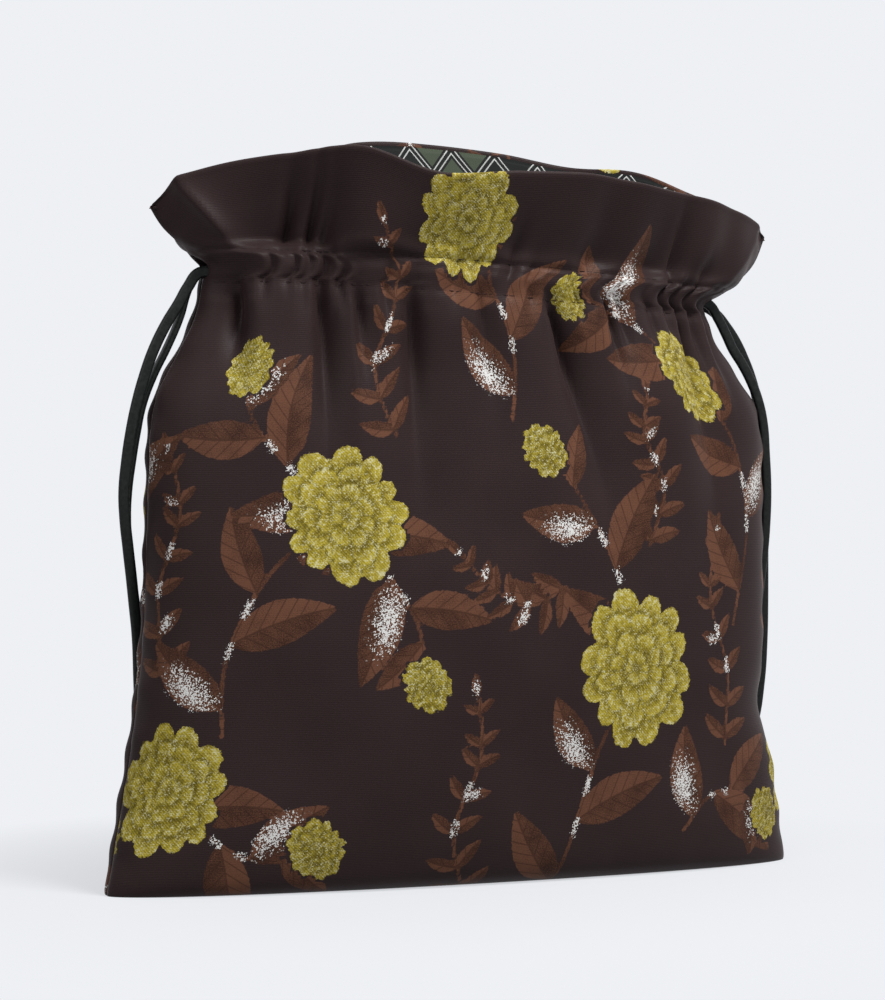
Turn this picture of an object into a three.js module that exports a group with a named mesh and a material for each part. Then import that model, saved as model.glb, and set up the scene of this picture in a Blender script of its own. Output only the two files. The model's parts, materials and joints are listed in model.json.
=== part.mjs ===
// Drawstring pouch of lined jacquard cloth, gathered by two leather laces.
// Millimetres, +Z up. The front faces -Y, the width runs along X, and the origin is on
// the floor under the middle of the base.
import * as THREE from 'three';
import { mergeVertices } from 'three/addons/utils/BufferGeometryUtils.js';

// Widths across the pouch, from side seam to side seam
const BASE_WIDTH = 253;
const BELLY_WIDTH = 230;
const NECK_WIDTH = 187;
const FRILL_WIDTH = 231;

// Depths from the front cloth to the back cloth
const BASE_DEPTH = 42;
const BELLY_DEPTH = 78;
const NECK_DEPTH = 64;
const FRILL_DEPTH = 86;

// Heights above the floor, how much higher the back of the channel stands than its sides, and
// how much higher its left end stands than its middle
const HEEL_HEIGHT = 12;
const BELLY_HEIGHT = 88;
const CHANNEL_HEIGHT = 204;
const FRILL_RISE = 22;
const BACK_CHANNEL_LIFT = 10;
const CHANNEL_TILT = 3;

// Cloth, seams and the sewn channel
const CLOTH_THICKNESS = 1.2;
const LINING_THICKNESS = 0.8;
const LINING_GAP = 0.8;
const SEAM_GAP = 0.3;
const CHANNEL_BAND = 10.5;
const CORNER_TUCK = 4;

// Gathers at the channel, soft folds under it and waves in the frill, whose sides come to a point
const GATHERS_PER_PANEL = 9;
const GATHER_DEPTH = 4.8;
const FOLDS_PER_PANEL = 5;
const FOLD_DEPTH = 3;
const WAVES_PER_PANEL = 3;
const WAVE_DEPTH = 4;
const FRILL_PINCH = 0.4;

// Laces and their knots
const LACE_DIAMETER = 3.2;
const LACE_CLEARANCE = 0.4;
const LACE_STEPS = 80;
const LACE_SIDES = 8;
const TURN_ROOM = 5;
const KNOT_DIAMETER = 8.8;
const KNOT_LENGTH = 9;
const KNOT_GAP = 0.3;

const jacquardCloth = new THREE.MeshStandardMaterial({ color: 0x342829, roughness: 0.6, metalness: 0 });
const liningCloth = new THREE.MeshStandardMaterial({ color: 0x232624, roughness: 0.75, metalness: 0 });
const laceLeather = new THREE.MeshStandardMaterial({ color: 0x242a28, roughness: 0.4, metalness: 0 });

// Levels of the wall, counted up the cloth from the bottom seam to the rim
const HEEL = 2;
const BELLY = 4;
const SHOULDER = 6;
const UNDER_CHANNEL = 7;
const LOWER_STITCH = 8;
const CHANNEL = 9;
const UPPER_STITCH = 10;
const MID_FRILL = 11;
const RIM = 12;

const at = (reach, height) => new THREE.Vector2(reach, height);
const mix = THREE.MathUtils.lerp;
const fade = (value, from, to) => THREE.MathUtils.smoothstep(value, from, to);
const fadeOut = (value, from, to) => 1 - fade(value, from, to);

const halfBase = BASE_WIDTH / 2;
const halfBelly = BELLY_WIDTH / 2;
const halfNeck = NECK_WIDTH / 2;
const halfFrill = FRILL_WIDTH / 2;
const halfBand = CHANNEL_BAND / 2;
const lowerBodyHeight = mix(HEEL_HEIGHT, BELLY_HEIGHT, 0.5);
const upperBodyHeight = mix(BELLY_HEIGHT, CHANNEL_HEIGHT, 0.4);
const shoulderHeight = mix(BELLY_HEIGHT, CHANNEL_HEIGHT, 0.64);
const underChannelHeight = mix(BELLY_HEIGHT, CHANNEL_HEIGHT, 0.84);

// Outline along the side seam: reach from the middle plane and height, one point a level
const sideOutline = new THREE.SplineCurve([
  at(halfBase - CORNER_TUCK, 0),
  at(halfBase, 0),
  at(mix(halfBelly, halfBase, 0.84), HEEL_HEIGHT),
  at(mix(halfBelly, halfBase, 0.3), lowerBodyHeight),
  at(halfBelly, BELLY_HEIGHT),
  at(halfBelly, upperBodyHeight),
  at(mix(halfBelly, halfNeck, 0.1), shoulderHeight),
  at(mix(halfBelly, halfNeck, 0.71), underChannelHeight),
  at(mix(halfBelly, halfNeck, 0.96), CHANNEL_HEIGHT - halfBand),
  at(halfNeck, CHANNEL_HEIGHT),
  at(mix(halfNeck, halfFrill, 0.34), CHANNEL_HEIGHT + halfBand),
  at(mix(halfNeck, halfFrill, 0.78), CHANNEL_HEIGHT + mix(halfBand, FRILL_RISE, 0.5)),
  at(halfFrill, CHANNEL_HEIGHT + FRILL_RISE),
]);

// How far each level stands to the right of the middle, since the pouch leans a little
const levelLean = new THREE.SplineCurve(
  [0, 0, 0, 0, 0.5, 2, 2.2, 1.2, 0, 0, 2, 4, 4].map((lean, level) => at(level, lean)));

// Outline up the middle of a panel, which stands higher than the side seams at the top
function middleOutline(channelLift, rimLift) {
  const channelHeight = CHANNEL_HEIGHT + channelLift;
  const upperStitch = channelHeight + halfBand;
  const rimHeight = CHANNEL_HEIGHT + FRILL_RISE + rimLift;
  const depths = {
    base: BASE_DEPTH / 2, belly: BELLY_DEPTH / 2, neck: NECK_DEPTH / 2, frill: FRILL_DEPTH / 2,
  };
  return new THREE.SplineCurve([
    at(0, 0),
    at(depths.base, 0),
    at(mix(depths.base, depths.belly, 0.5), HEEL_HEIGHT),
    at(mix(depths.base, depths.belly, 0.83), lowerBodyHeight),
    at(depths.belly, BELLY_HEIGHT),
    at(mix(depths.belly, depths.neck, 0.2), upperBodyHeight),
    at(mix(depths.belly, depths.neck, 0.45), shoulderHeight + 0.33 * channelLift),
    at(mix(depths.belly, depths.neck, 0.75), underChannelHeight + 0.67 * channelLift),
    at(depths.neck, channelHeight - halfBand),
    at(depths.neck, channelHeight),
    at(depths.neck, upperStitch),
    at(mix(depths.neck, depths.frill, 0.5), mix(upperStitch, rimHeight, 0.5)),
    at(depths.frill, rimHeight),
  ]);
}

// Rise of each rim above its two ends, from seam to seam. The places crowd towards the seams,
// where a rim climbs fast. The front rim dips beside its middle.
const FRONT_RIM_RISES = [0, 3.3, 9.2, 13.4, 16.2, 18.4, 10.6, 12.2, 13, 11, 9.4, 7.1, 4.9, 2.2, 0];
const BACK_RIM_RISES = [0, 5, 10.8, 17.5, 25.4, 27.4, 31.6, 33.6, 32.4, 24, 17.5, 11, 5.5, 2, 0];
const CHANNEL_ARCH = 1.5;

const tiltAt = (level) => (
  CHANNEL_TILT * fade(level, SHOULDER, LOWER_STITCH) * fadeOut(level, UPPER_STITCH, RIM));
const rimPlace = (share) => Math.acos(1 - 2 * share) / Math.PI;

// The back panel is the front one turned half round
function panelShape(turn, channelLift, rimRises) {
  const rim = new THREE.SplineCurve(rimRises.map((rise, place) => at(place, rise)));
  const rimLift = rim.getPoint(rimPlace(0.5)).y;
  return { turn, rim, rimLift, outline: middleOutline(channelLift, rimLift) };
}

const front = panelShape(1, 0, FRONT_RIM_RISES);
const back = panelShape(-1, BACK_CHANNEL_LIFT, BACK_RIM_RISES);

// Folds sink in from the fullest outline: ripple is 0 at a crest and at both seams
const ripple = (share, count) => 0.5 - 0.5 * Math.cos(2 * Math.PI * count * share);
const gatherAt = (level) => fade(level, SHOULDER - 1, CHANNEL) * fadeOut(level, UPPER_STITCH, RIM);
const laceRoomAt = (level) => (
  fade(level, UNDER_CHANNEL, LOWER_STITCH) * fadeOut(level, UPPER_STITCH, MID_FRILL));

function softFolds(share, level) {
  const foldFade = fade(level, BELLY, UNDER_CHANNEL) * fadeOut(level, UNDER_CHANNEL, LOWER_STITCH);
  const folds = FOLD_DEPTH * foldFade * ripple(share, FOLDS_PER_PANEL);
  const waves = WAVE_DEPTH * fade(level, UPPER_STITCH, RIM) * ripple(share, WAVES_PER_PANEL);
  return folds + waves;
}

// A point of the pouch wall. share runs 0 to 1 from seam to seam, level up the cloth, inset
// inwards from the outer face, and squeeze further inwards at the sides only.
function wallPoint(panel, share, level, inset, squeeze = 0) {
  const side = sideOutline.getPoint(level / RIM);
  const middle = panel.outline.getPoint(level / RIM);
  const reach = side.x - inset - squeeze;
  const depth = Math.max(middle.x - inset * Math.min(level, 1), 0);
  const handle = (depth * 4) / 3;
  const frillShare = fade(level, UPPER_STITCH, RIM);
  const shoulder = reach * (1 - FRILL_PINCH * frillShare);
  const section = new THREE.CubicBezierCurve(
    at(-reach, 0), at(-shoulder, -handle), at(shoulder, -handle), at(reach, 0));
  const spot = section.getPointAt(share);
  const along = section.getTangentAt(share);
  const fold = softFolds(share, level);
  const x = panel.turn * (spot.x - along.y * fold) + levelLean.getPoint(level / RIM).y;
  const y = panel.turn * (spot.y + along.x * fold - SEAM_GAP / 2);
  const arch = Math.abs(Math.sin(Math.PI * share)) ** CHANNEL_ARCH;
  const rimRise = panel.rim.getPoint(rimPlace(share)).y - panel.rimLift * arch;
  const floorLift = inset * THREE.MathUtils.clamp(HEEL - level, 0, 1);
  const tilt = panel.turn * Math.cos(Math.PI * share) * tiltAt(level);
  const height = mix(side.y, middle.y, arch) + frillShare * rimRise + tilt + floorLift;
  return new THREE.Vector3(x, y, height);
}

// A cloth panel starts as a flat cut, a box with a grid of columns and rows, and is bent on
// to the pouch by placeAt, whose faceSide is 0 on the panel's outer face and 1 on its inner.
function clothPanel(name, panel, levels, columns, material, placeAt) {
  const rows = levels.length - 1;
  const cut = new THREE.BoxGeometry(1, 1, 1, columns, rows, 1);
  cut.deleteAttribute('normal');
  cut.deleteAttribute('uv');
  const spots = cut.getAttribute('position');
  for (let i = 0; i < spots.count; i += 1) {
    const share = spots.getX(i) + 0.5;
    const level = levels[Math.round((spots.getY(i) + 0.5) * rows)];
    const spot = placeAt(panel, share, level, 0.5 - spots.getZ(i));
    spots.setXYZ(i, spot.x, spot.y, spot.z);
  }
  const geometry = mergeVertices(cut);
  geometry.computeVertexNormals();
  const mesh = new THREE.Mesh(geometry, material);
  mesh.name = name;
  return mesh;
}

// The outer cloth is gathered at the channel, and its side seams are left open there as slits
const SLIT_FOOT = LOWER_STITCH + 0.1;
const SLIT_HEAD = UPPER_STITCH - 0.3;
const slitHalfWidth = 1.5 * (LACE_DIAMETER + LACE_CLEARANCE);
const neckPanelLength = NECK_WIDTH + NECK_DEPTH / 2;

function outerPlace(panel, share, level, faceSide) {
  const open = level >= SLIT_FOOT && level <= SLIT_HEAD;
  const slitShare = open ? slitHalfWidth / neckPanelLength : 0;
  const gather = GATHER_DEPTH * gatherAt(level) * ripple(share, GATHERS_PER_PANEL);
  const inset = gather + CLOTH_THICKNESS * faceSide;
  return wallPoint(panel, mix(slitShare, 1 - slitShare, share), level, inset);
}

// The lining lies inside the gathers, and leaves room in the channel for the laces
const laceRoom = LACE_DIAMETER + 2 * LACE_CLEARANCE;

function liningPlace(panel, share, level, faceSide) {
  const room = GATHER_DEPTH * gatherAt(level) + laceRoom * laceRoomAt(level);
  const inset = CLOTH_THICKNESS + LINING_GAP + room + LINING_THICKNESS * faceSide;
  return wallPoint(panel, share, level, inset, TURN_ROOM * laceRoomAt(level));
}

const COLUMNS_PER_GATHER = 4;
const OUTER_COLUMNS = COLUMNS_PER_GATHER * GATHERS_PER_PANEL;
const LINING_COLUMNS = 16;
const outerLevels = [0, 1, 1.5, HEEL, 2.5, 3, 3.5, BELLY, 4.5, 5, 5.5, SHOULDER, 6.5, UNDER_CHANNEL,
  LOWER_STITCH, SLIT_FOOT, CHANNEL, SLIT_HEAD, UPPER_STITCH, 10.5, MID_FRILL, 11.5, RIM];
const liningLevels = [0, 1, HEEL, 3, BELLY, 5, SHOULDER, 6.5, UNDER_CHANNEL,
  LOWER_STITCH, CHANNEL, UPPER_STITCH, 10.5, MID_FRILL, 11.5, RIM];

// Each lace runs round the channel from its own side slit, and both its ends leave there.
// The two laces lie one above the other in the channel.
const laceInset = CLOTH_THICKNESS + GATHER_DEPTH + LACE_CLEARANCE + LACE_DIAMETER / 2;
const laceStack = LACE_DIAMETER + LACE_CLEARANCE;
const strandSpread = LACE_DIAMETER / 2 + 3.5 * LACE_CLEARANCE;
const CHANNEL_STOPS = [0.07, 0.14, 0.25, 0.37, 0.5, 0.63, 0.75, 0.86, 0.93];

function channelRun(first, second, heightShift) {
  const points = CHANNEL_STOPS.map((stop) => wallPoint(first, stop, CHANNEL, laceInset));
  points.push(wallPoint(first, 1, CHANNEL, laceInset));
  points.push(...CHANNEL_STOPS.map((stop) => wallPoint(second, stop, CHANNEL, laceInset)));
  for (const point of points) point.z += heightShift;
  return points;
}

// Free ends of the laces: hand-laid points from the slit down beside the pouch to the knot
const leftFrontTail = [
  [-95.4, -2.5, 205.1], [-99.4, -2.6, 200.2], [-102.6, -2.8, 194.6], [-106.8, -2.9, 187.8],
  [-110.9, -2.8, 179.5], [-114.2, -2.6, 170.2], [-116.7, -2.4, 161], [-118.5, -2, 151.8],
  [-119.8, -1.4, 141.9], [-120.4, -0.4, 132.1], [-119.7, 1, 123.5], [-118.1, 3.2, 114],
  [-116.3, 5.8, 104.5], [-114.5, 8.8, 95], [-112.4, 12.6, 84], [-110.6, 17.4, 70],
  [-108.6, 22.8, 54], [-106, 28.6, 36], [-102, 34.4, 18], [-95.5, 39.6, 6.4],
  [-87, 42.8, 2.6], [-78, 43.8, 3.2], [-70, 44, 4.5],
];
const leftBackTail = [
  [-95.2, 2.4, 205], [-98.4, 1.6, 199], [-101.2, 1, 190.2], [-105.4, 1.2, 180.3],
  [-109.9, 2.2, 170.7], [-113.2, 3.1, 161.4], [-115.2, 3.2, 152], [-116.7, 3.4, 142.6],
  [-117.8, 4.2, 132.6], [-117.8, 5.6, 123.5], [-116.6, 7.8, 114], [-114.8, 10.4, 104.5],
  [-112.6, 13.4, 95], [-110.2, 17, 84], [-108.6, 21.8, 70], [-106.4, 27.2, 54],
  [-103.4, 33, 36], [-99, 38.8, 18], [-92.5, 44, 6.4], [-85, 47, 2.6], [-77, 48, 3.2], [-70, 48, 4.5],
];
const rightFrontTail = [
  [95.6, -2.6, 201.4], [99.4, -2.5, 196.4], [102.6, -2.4, 190.9], [105.4, -2.4, 185.6],
  [109.2, -2.5, 180.2], [112.8, -2.6, 174], [115.8, -2.6, 167], [117.8, -2.6, 158.5],
  [118.7, -2.4, 148], [119.4, -2.2, 135], [119.2, -1.8, 122.5], [118.7, -0.4, 109],
  [118.4, 2.4, 95], [118.7, 5.4, 80], [119.4, 9, 64], [118.9, 13.4, 47], [115.4, 20.4, 30],
  [108.6, 28.8, 14.5], [99.4, 36, 5], [89, 40.8, 2.4], [79, 42.7, 2.8], [70, 43, 4.5],
];
const rightBackTail = [
  [96, 2.8, 201.4], [101.4, 2.8, 198.6], [105.8, 2.9, 194], [109.7, 3.2, 189],
  [113.2, 3.6, 183], [116.4, 4, 176.2], [119.1, 4.4, 168], [121, 4.8, 159],
  [122, 5.2, 148], [122.5, 5.6, 135], [122.8, 6, 122.5], [123.1, 6.6, 109],
  [123.6, 7.6, 95], [124.4, 9.6, 80], [124.8, 12.4, 64], [124.2, 17, 47], [120.4, 24, 30],
  [112.6, 32.4, 14.5], [103, 39.6, 5], [92, 44.4, 2.4], [81, 46.7, 2.8], [70, 47, 4.5],
];

const asPoints = (route) => route.map((place) => new THREE.Vector3(...place));
const INSIDE_SLIT = 5;

function laceMesh(name, sideSign, firstTail, run, lastTail, heightShift) {
  const slitPoint = (strandSign) => new THREE.Vector3(
    sideSign * (halfNeck - INSIDE_SLIT),
    strandSign * strandSpread,
    CHANNEL_HEIGHT - sideSign * CHANNEL_TILT + heightShift,
  );
  const route = [
    ...asPoints(firstTail).toReversed(),
    slitPoint(sideSign),
    ...run,
    slitPoint(-sideSign),
    ...asPoints(lastTail),
  ];
  const section = new THREE.Shape();
  section.absarc(0, 0, LACE_DIAMETER / 2, 0, 2 * Math.PI);
  const geometry = new THREE.ExtrudeGeometry(section, {
    steps: LACE_STEPS,
    curveSegments: LACE_SIDES / 2,
    extrudePath: new THREE.CatmullRomCurve3(route),
  });
  const mesh = new THREE.Mesh(geometry, laceLeather);
  mesh.name = name;
  return mesh;
}

// A barrel-shaped knot, end-on to the two strands that run into it
const KNOT_SIDES = 12;
const knotProfile = [
  [0, 0], [0.82, 0], [1, 0.14], [1, 0.4], [0.85, 0.5], [1, 0.6], [1, 0.86], [0.82, 1], [0, 1],
].map(([reach, length]) => at((reach * KNOT_DIAMETER) / 2, length * KNOT_LENGTH));

function knotMesh(name, sideSign, firstTail, lastTail) {
  const mesh = new THREE.Mesh(new THREE.LatheGeometry(knotProfile, KNOT_SIDES), laceLeather);
  const ends = asPoints([firstTail.at(-1), lastTail.at(-1)]);
  mesh.position.lerpVectors(ends[0], ends[1], 0.5);
  mesh.position.x -= sideSign * KNOT_GAP;
  mesh.rotation.z = (sideSign * Math.PI) / 2;
  mesh.name = name;
  return mesh;
}

const leftShift = -laceStack / 2;
const rightShift = laceStack / 2;
const leftRun = channelRun(front, back, leftShift);
const rightRun = channelRun(back, front, rightShift);

const pouch = new THREE.Group();
pouch.add(
  clothPanel('outer_front_panel', front, outerLevels, OUTER_COLUMNS, jacquardCloth, outerPlace),
  clothPanel('outer_back_panel', back, outerLevels, OUTER_COLUMNS, jacquardCloth, outerPlace),
  clothPanel('lining_front_panel', front, liningLevels, LINING_COLUMNS, liningCloth, liningPlace),
  clothPanel('lining_back_panel', back, liningLevels, LINING_COLUMNS, liningCloth, liningPlace),
  laceMesh('left_drawcord', -1, leftFrontTail, leftRun, leftBackTail, leftShift),
  laceMesh('right_drawcord', 1, rightBackTail, rightRun, rightFrontTail, rightShift),
  knotMesh('left_drawcord_knot', -1, leftFrontTail, leftBackTail),
  knotMesh('right_drawcord_knot', 1, rightBackTail, rightFrontTail),
);

export default pouch;
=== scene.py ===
# %% [markdown]
# # A drawstring pouch of jacquard cloth
# The real pouch is two panels of dark satin jacquard with a printed lining, sewn together at the sides
# and the bottom. Two flat laces run through a sewn channel, leave it at the side seams and hang down to
# their knots. The packed CAD model comes first. It is the fixed frame, and nothing in it is moved: each
# soft piece below stands for one of its nodes and takes its place.

# %% Load the packed frame
import json
import math

import bmesh
import bpy
import numpy as np
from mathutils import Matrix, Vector

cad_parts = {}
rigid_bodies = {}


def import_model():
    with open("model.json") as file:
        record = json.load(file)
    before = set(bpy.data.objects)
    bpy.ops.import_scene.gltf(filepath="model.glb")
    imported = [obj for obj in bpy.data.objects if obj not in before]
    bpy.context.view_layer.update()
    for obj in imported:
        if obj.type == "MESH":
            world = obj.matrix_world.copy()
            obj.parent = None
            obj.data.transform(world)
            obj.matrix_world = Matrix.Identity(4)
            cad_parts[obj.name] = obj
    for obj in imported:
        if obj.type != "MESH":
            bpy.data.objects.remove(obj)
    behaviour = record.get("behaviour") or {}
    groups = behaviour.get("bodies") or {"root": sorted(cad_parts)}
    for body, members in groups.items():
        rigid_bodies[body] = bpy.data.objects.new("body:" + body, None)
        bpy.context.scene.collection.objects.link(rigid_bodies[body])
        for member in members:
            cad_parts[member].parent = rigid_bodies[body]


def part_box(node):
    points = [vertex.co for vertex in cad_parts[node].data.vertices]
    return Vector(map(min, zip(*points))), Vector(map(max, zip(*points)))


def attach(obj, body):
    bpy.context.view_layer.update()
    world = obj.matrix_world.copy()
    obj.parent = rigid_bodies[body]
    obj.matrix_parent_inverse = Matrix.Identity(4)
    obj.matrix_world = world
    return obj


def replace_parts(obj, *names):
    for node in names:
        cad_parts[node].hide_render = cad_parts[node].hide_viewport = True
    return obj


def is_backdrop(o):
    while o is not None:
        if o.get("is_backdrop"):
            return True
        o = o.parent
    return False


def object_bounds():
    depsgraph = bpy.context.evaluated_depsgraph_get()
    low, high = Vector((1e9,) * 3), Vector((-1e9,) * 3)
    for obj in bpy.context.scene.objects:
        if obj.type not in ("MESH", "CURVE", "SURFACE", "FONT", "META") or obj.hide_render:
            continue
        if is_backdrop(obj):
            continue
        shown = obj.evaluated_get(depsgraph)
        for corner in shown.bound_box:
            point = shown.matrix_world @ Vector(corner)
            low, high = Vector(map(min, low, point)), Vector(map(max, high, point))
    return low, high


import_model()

cad_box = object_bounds()
print("CAD box in metres:", [[round(value, 4) for value in corner] for corner in cad_box])

# %% New objects
def put(name, data):
    """A new object in the scene."""
    made = bpy.data.objects.new(name, data)
    bpy.context.scene.collection.objects.link(made)
    return made


def smooth(mesh):
    """Shades a mesh smooth."""
    mesh.polygons.foreach_set("use_smooth", [True] * len(mesh.polygons))
    return mesh


def flat_grid(name, columns, rows, size):
    """A mesh of a flat grid, with that many columns and rows of faces."""
    grid = bmesh.new()
    bmesh.ops.create_grid(grid, x_segments=columns, y_segments=rows, size=size)
    mesh = bpy.data.meshes.new(name)
    grid.to_mesh(mesh)
    grid.free()
    return smooth(mesh)


# %% [markdown]
# ## The camera
# A camera can be placed by eye, or solved from the picture. This one was solved: its distance, turn and
# focal length put the outline of the CAD model on the outline in the photograph. The long side of the
# frame takes the sensor's width, so the focal length in pixels becomes millimetres by that ratio.

# %% Camera
PHOTO_HEIGHT = 1000
FOCAL_PIXELS = 2418
HORIZON_ROW = 540
CAMERA_DISTANCE = 0.840
CAMERA_HEIGHT = 0.1163
CAMERA_SIDESTEP = -0.0068
CAMERA_TURN = math.radians(22)

camera = put("camera", bpy.data.cameras.new("camera"))
bpy.context.scene.camera = camera
camera.data.lens = camera.data.sensor_width * FOCAL_PIXELS / PHOTO_HEIGHT
forward = Vector((math.sin(CAMERA_TURN), math.cos(CAMERA_TURN), 0))
sideways = Vector((math.cos(CAMERA_TURN), -math.sin(CAMERA_TURN), 0))
camera.location = sideways * CAMERA_SIDESTEP - forward * CAMERA_DISTANCE
camera.location.z = CAMERA_HEIGHT
tilt_up = math.atan((HORIZON_ROW - PHOTO_HEIGHT / 2) / FOCAL_PIXELS)
camera.rotation_euler = (math.pi / 2 + tilt_up, 0, -CAMERA_TURN)
print("camera lens in mm:", round(camera.data.lens, 2))

# %% [markdown]
# ## The free ends of the laces
# Each lace is a flat strip with soft edges. A tube mesh could be bent along a path, but a curve with a
# bevel is easier to change: the bevel rounds the edges, the extrusion makes it flat, and the tilt turns
# the flat side. The section is drawn at unit size, and each point's radius brings it to half the lace's
# thickness. The routes repeat the CAD model's points, from the slit in the side seam down to the knot.

# %% Lace routes
MM = 0.001
LACE_WIDTH = 3.8
LACE_THICKNESS = 2.2
LACE_FLAT = LACE_WIDTH - LACE_THICKNESS

LACE_ROUTES = {
    "left_front": [
        (-88.5, -3, 205.2), (-95.4, -2.5, 205.1), (-99.4, -2.6, 200.2), (-102.6, -2.8, 194.6),
        (-106.8, -2.9, 187.8), (-110.9, -2.8, 179.5), (-114.2, -2.6, 170.2), (-116.7, -2.4, 161),
        (-118.5, -2, 151.8), (-119.8, -1.4, 141.9), (-120.4, -0.4, 132.1), (-119.7, 1, 123.5),
        (-118.1, 3.2, 114), (-116.3, 5.8, 104.5), (-114.5, 8.8, 95), (-112.4, 12.6, 84),
        (-110.6, 17.4, 70), (-108.6, 22.8, 54), (-106, 28.6, 36), (-102, 34.4, 18), (-95.5, 39.6, 6.4),
        (-87, 42.8, 2.6), (-78, 43.8, 3.2), (-70, 44, 4.5),
    ],
    "left_back": [
        (-88.5, 3, 205.2), (-95.2, 2.4, 205), (-98.4, 1.6, 199), (-101.2, 1, 190.2),
        (-105.4, 1.2, 180.3), (-109.9, 2.2, 170.7), (-113.2, 3.1, 161.4), (-115.2, 3.2, 152),
        (-116.7, 3.4, 142.6), (-117.8, 4.2, 132.6), (-117.8, 5.6, 123.5), (-116.6, 7.8, 114),
        (-114.8, 10.4, 104.5), (-112.6, 13.4, 95), (-110.2, 17, 84), (-108.6, 21.8, 70),
        (-106.4, 27.2, 54), (-103.4, 33, 36), (-99, 38.8, 18), (-92.5, 44, 6.4), (-85, 47, 2.6),
        (-77, 48, 3.2), (-70, 48, 4.5),
    ],
    "right_front": [
        (88.5, -3, 202.8), (95.6, -2.6, 201.4), (99.4, -2.5, 196.4), (102.6, -2.4, 190.9),
        (105.4, -2.4, 185.6), (109.2, -2.5, 180.2), (112.8, -2.6, 174), (115.8, -2.6, 167),
        (117.8, -2.6, 158.5), (118.7, -2.4, 148), (119.4, -2.2, 135), (119.2, -1.8, 122.5),
        (118.7, -0.4, 109), (118.4, 2.4, 95), (118.7, 5.4, 80), (119.4, 9, 64), (118.9, 13.4, 47),
        (115.4, 20.4, 30), (108.6, 28.8, 14.5), (99.4, 36, 5), (89, 40.8, 2.4), (79, 42.7, 2.8),
        (70, 43, 4.5),
    ],
    "right_back": [
        (88.5, 3, 202.8), (96, 2.8, 201.4), (101.4, 2.8, 198.6), (105.8, 2.9, 194), (109.7, 3.2, 189),
        (113.2, 3.6, 183), (116.4, 4, 176.2), (119.1, 4.4, 168), (121, 4.8, 159), (122, 5.2, 148),
        (122.5, 5.6, 135), (122.8, 6, 122.5), (123.1, 6.6, 109), (123.6, 7.6, 95), (124.4, 9.6, 80),
        (124.8, 12.4, 64), (124.2, 17, 47), (120.4, 24, 30), (112.6, 32.4, 14.5), (103, 39.6, 5),
        (92, 44.4, 2.4), (81, 46.7, 2.8), (70, 47, 4.5),
    ],
}
# Turn of the flat side, in degrees, where it isn't 0
LACE_TURNS = {"left_back": 90}
print("points on each lace end:", {name: len(route) for name, route in LACE_ROUTES.items()})

# %% A lace as a flat bevelled curve
def lace_curve(name, routes, thickness, extra_width, turn=0.0, cyclic=False):
    """A curve piece through each route, in mm, with a flat section turned by that many degrees."""
    curve = bpy.data.curves.new(name, "CURVE")
    curve.dimensions = "3D"
    curve.resolution_u = 6
    curve.bevel_depth = 1
    curve.extrude = extra_width / thickness
    curve.bevel_resolution = 3
    curve.use_fill_caps = True
    for route in routes:
        strand = curve.splines.new("BEZIER")
        strand.bezier_points.add(len(route) - 1)
        strand.use_cyclic_u = cyclic and route is routes[0]
        for point, place in zip(strand.bezier_points, route):
            point.co = Vector(place) * MM
            point.handle_left_type = point.handle_right_type = "AUTO"
            point.tilt = math.radians(turn)
            point.radius = thickness / 2 * MM
    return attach(put(name, curve), "root")


def route_length(route):
    """The length of a route's straight steps, in metres."""
    return sum((Vector(b) - Vector(a)).length for a, b in zip(route, route[1:])) * MM


# %% Free lace ends
lace_ends = {}
for name, route in LACE_ROUTES.items():
    turn = LACE_TURNS.get(name, 0)
    lace_ends[name] = lace_curve(f"{name}_lace_end", [route], LACE_THICKNESS, LACE_FLAT, turn)
    print(lace_ends[name].name, "is", round(route_length(route), 3), "m long")

# %% [markdown]
# ## The knots
# The two ends of each lace are tied together so that they can't slip back into the channel. A ball would
# be enough from far away. A trefoil is the simplest line that is truly knotted, and a thick round bevel
# along it gives the rolls of a pulled knot. Two short cut ends stick out past it.

# %% Knots
KNOT_STRAND = 2.9
KNOT_REACH = 0.95
KNOT_LENGTHWISE = 2.0
KNOT_POINTS = 24
KNOT_MIDDLE_X = 65.2
KNOT_MIDDLE_Z = 4.6
# Steps of a cut end: along the lace, sideways and up
CUT_END_STEPS = [(2, 0, 0.2), (5, 0.4, -1), (9, 1.2, -2.6), (13.5, 2.6, -3.2)]


def trefoil(middle):
    """Points round a trefoil whose axis lies along X."""
    turns = [2 * math.pi * step / KNOT_POINTS for step in range(KNOT_POINTS)]
    return [(
        middle[0] - KNOT_LENGTHWISE * math.sin(3 * turn),
        middle[1] + KNOT_REACH * (math.sin(turn) + 2 * math.sin(2 * turn)),
        middle[2] + KNOT_REACH * (math.cos(turn) - 2 * math.cos(2 * turn)),
    ) for turn in turns]


def cut_end(middle, side, drift):
    """A short free end that leaves the knot towards the middle of the pouch and lies down."""
    x, y, z = middle
    return [(x - side * along, y + drift * out, z + rise) for along, out, rise in CUT_END_STEPS]


knots = {}
for name, side, middle_y in (("left", -1, 46), ("right", 1, 45)):
    middle = (side * KNOT_MIDDLE_X, middle_y, KNOT_MIDDLE_Z)
    lines = [trefoil(middle), cut_end(middle, side, 1), cut_end(middle, side, -1)]
    knots[name] = lace_curve(name + "_knot", lines, KNOT_STRAND, 0, cyclic=True)
    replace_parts(knots[name], name + "_drawcord_knot")
print("knots:", sorted(knots))

# %% [markdown]
# ## The wall of the pouch
# Cloth drapes between the lines that hold it: the side seams, the bottom seam, the channel and the rim.
# So the wall is drawn from two outlines, one along the side seam and one up the middle of a panel, and a
# rounded section joins them at every level. These are the same outlines as in the CAD model. The levels
# count up the cloth: 1 is the edge of the base, 4 the belly, 9 the channel and 12 the rim.

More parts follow.
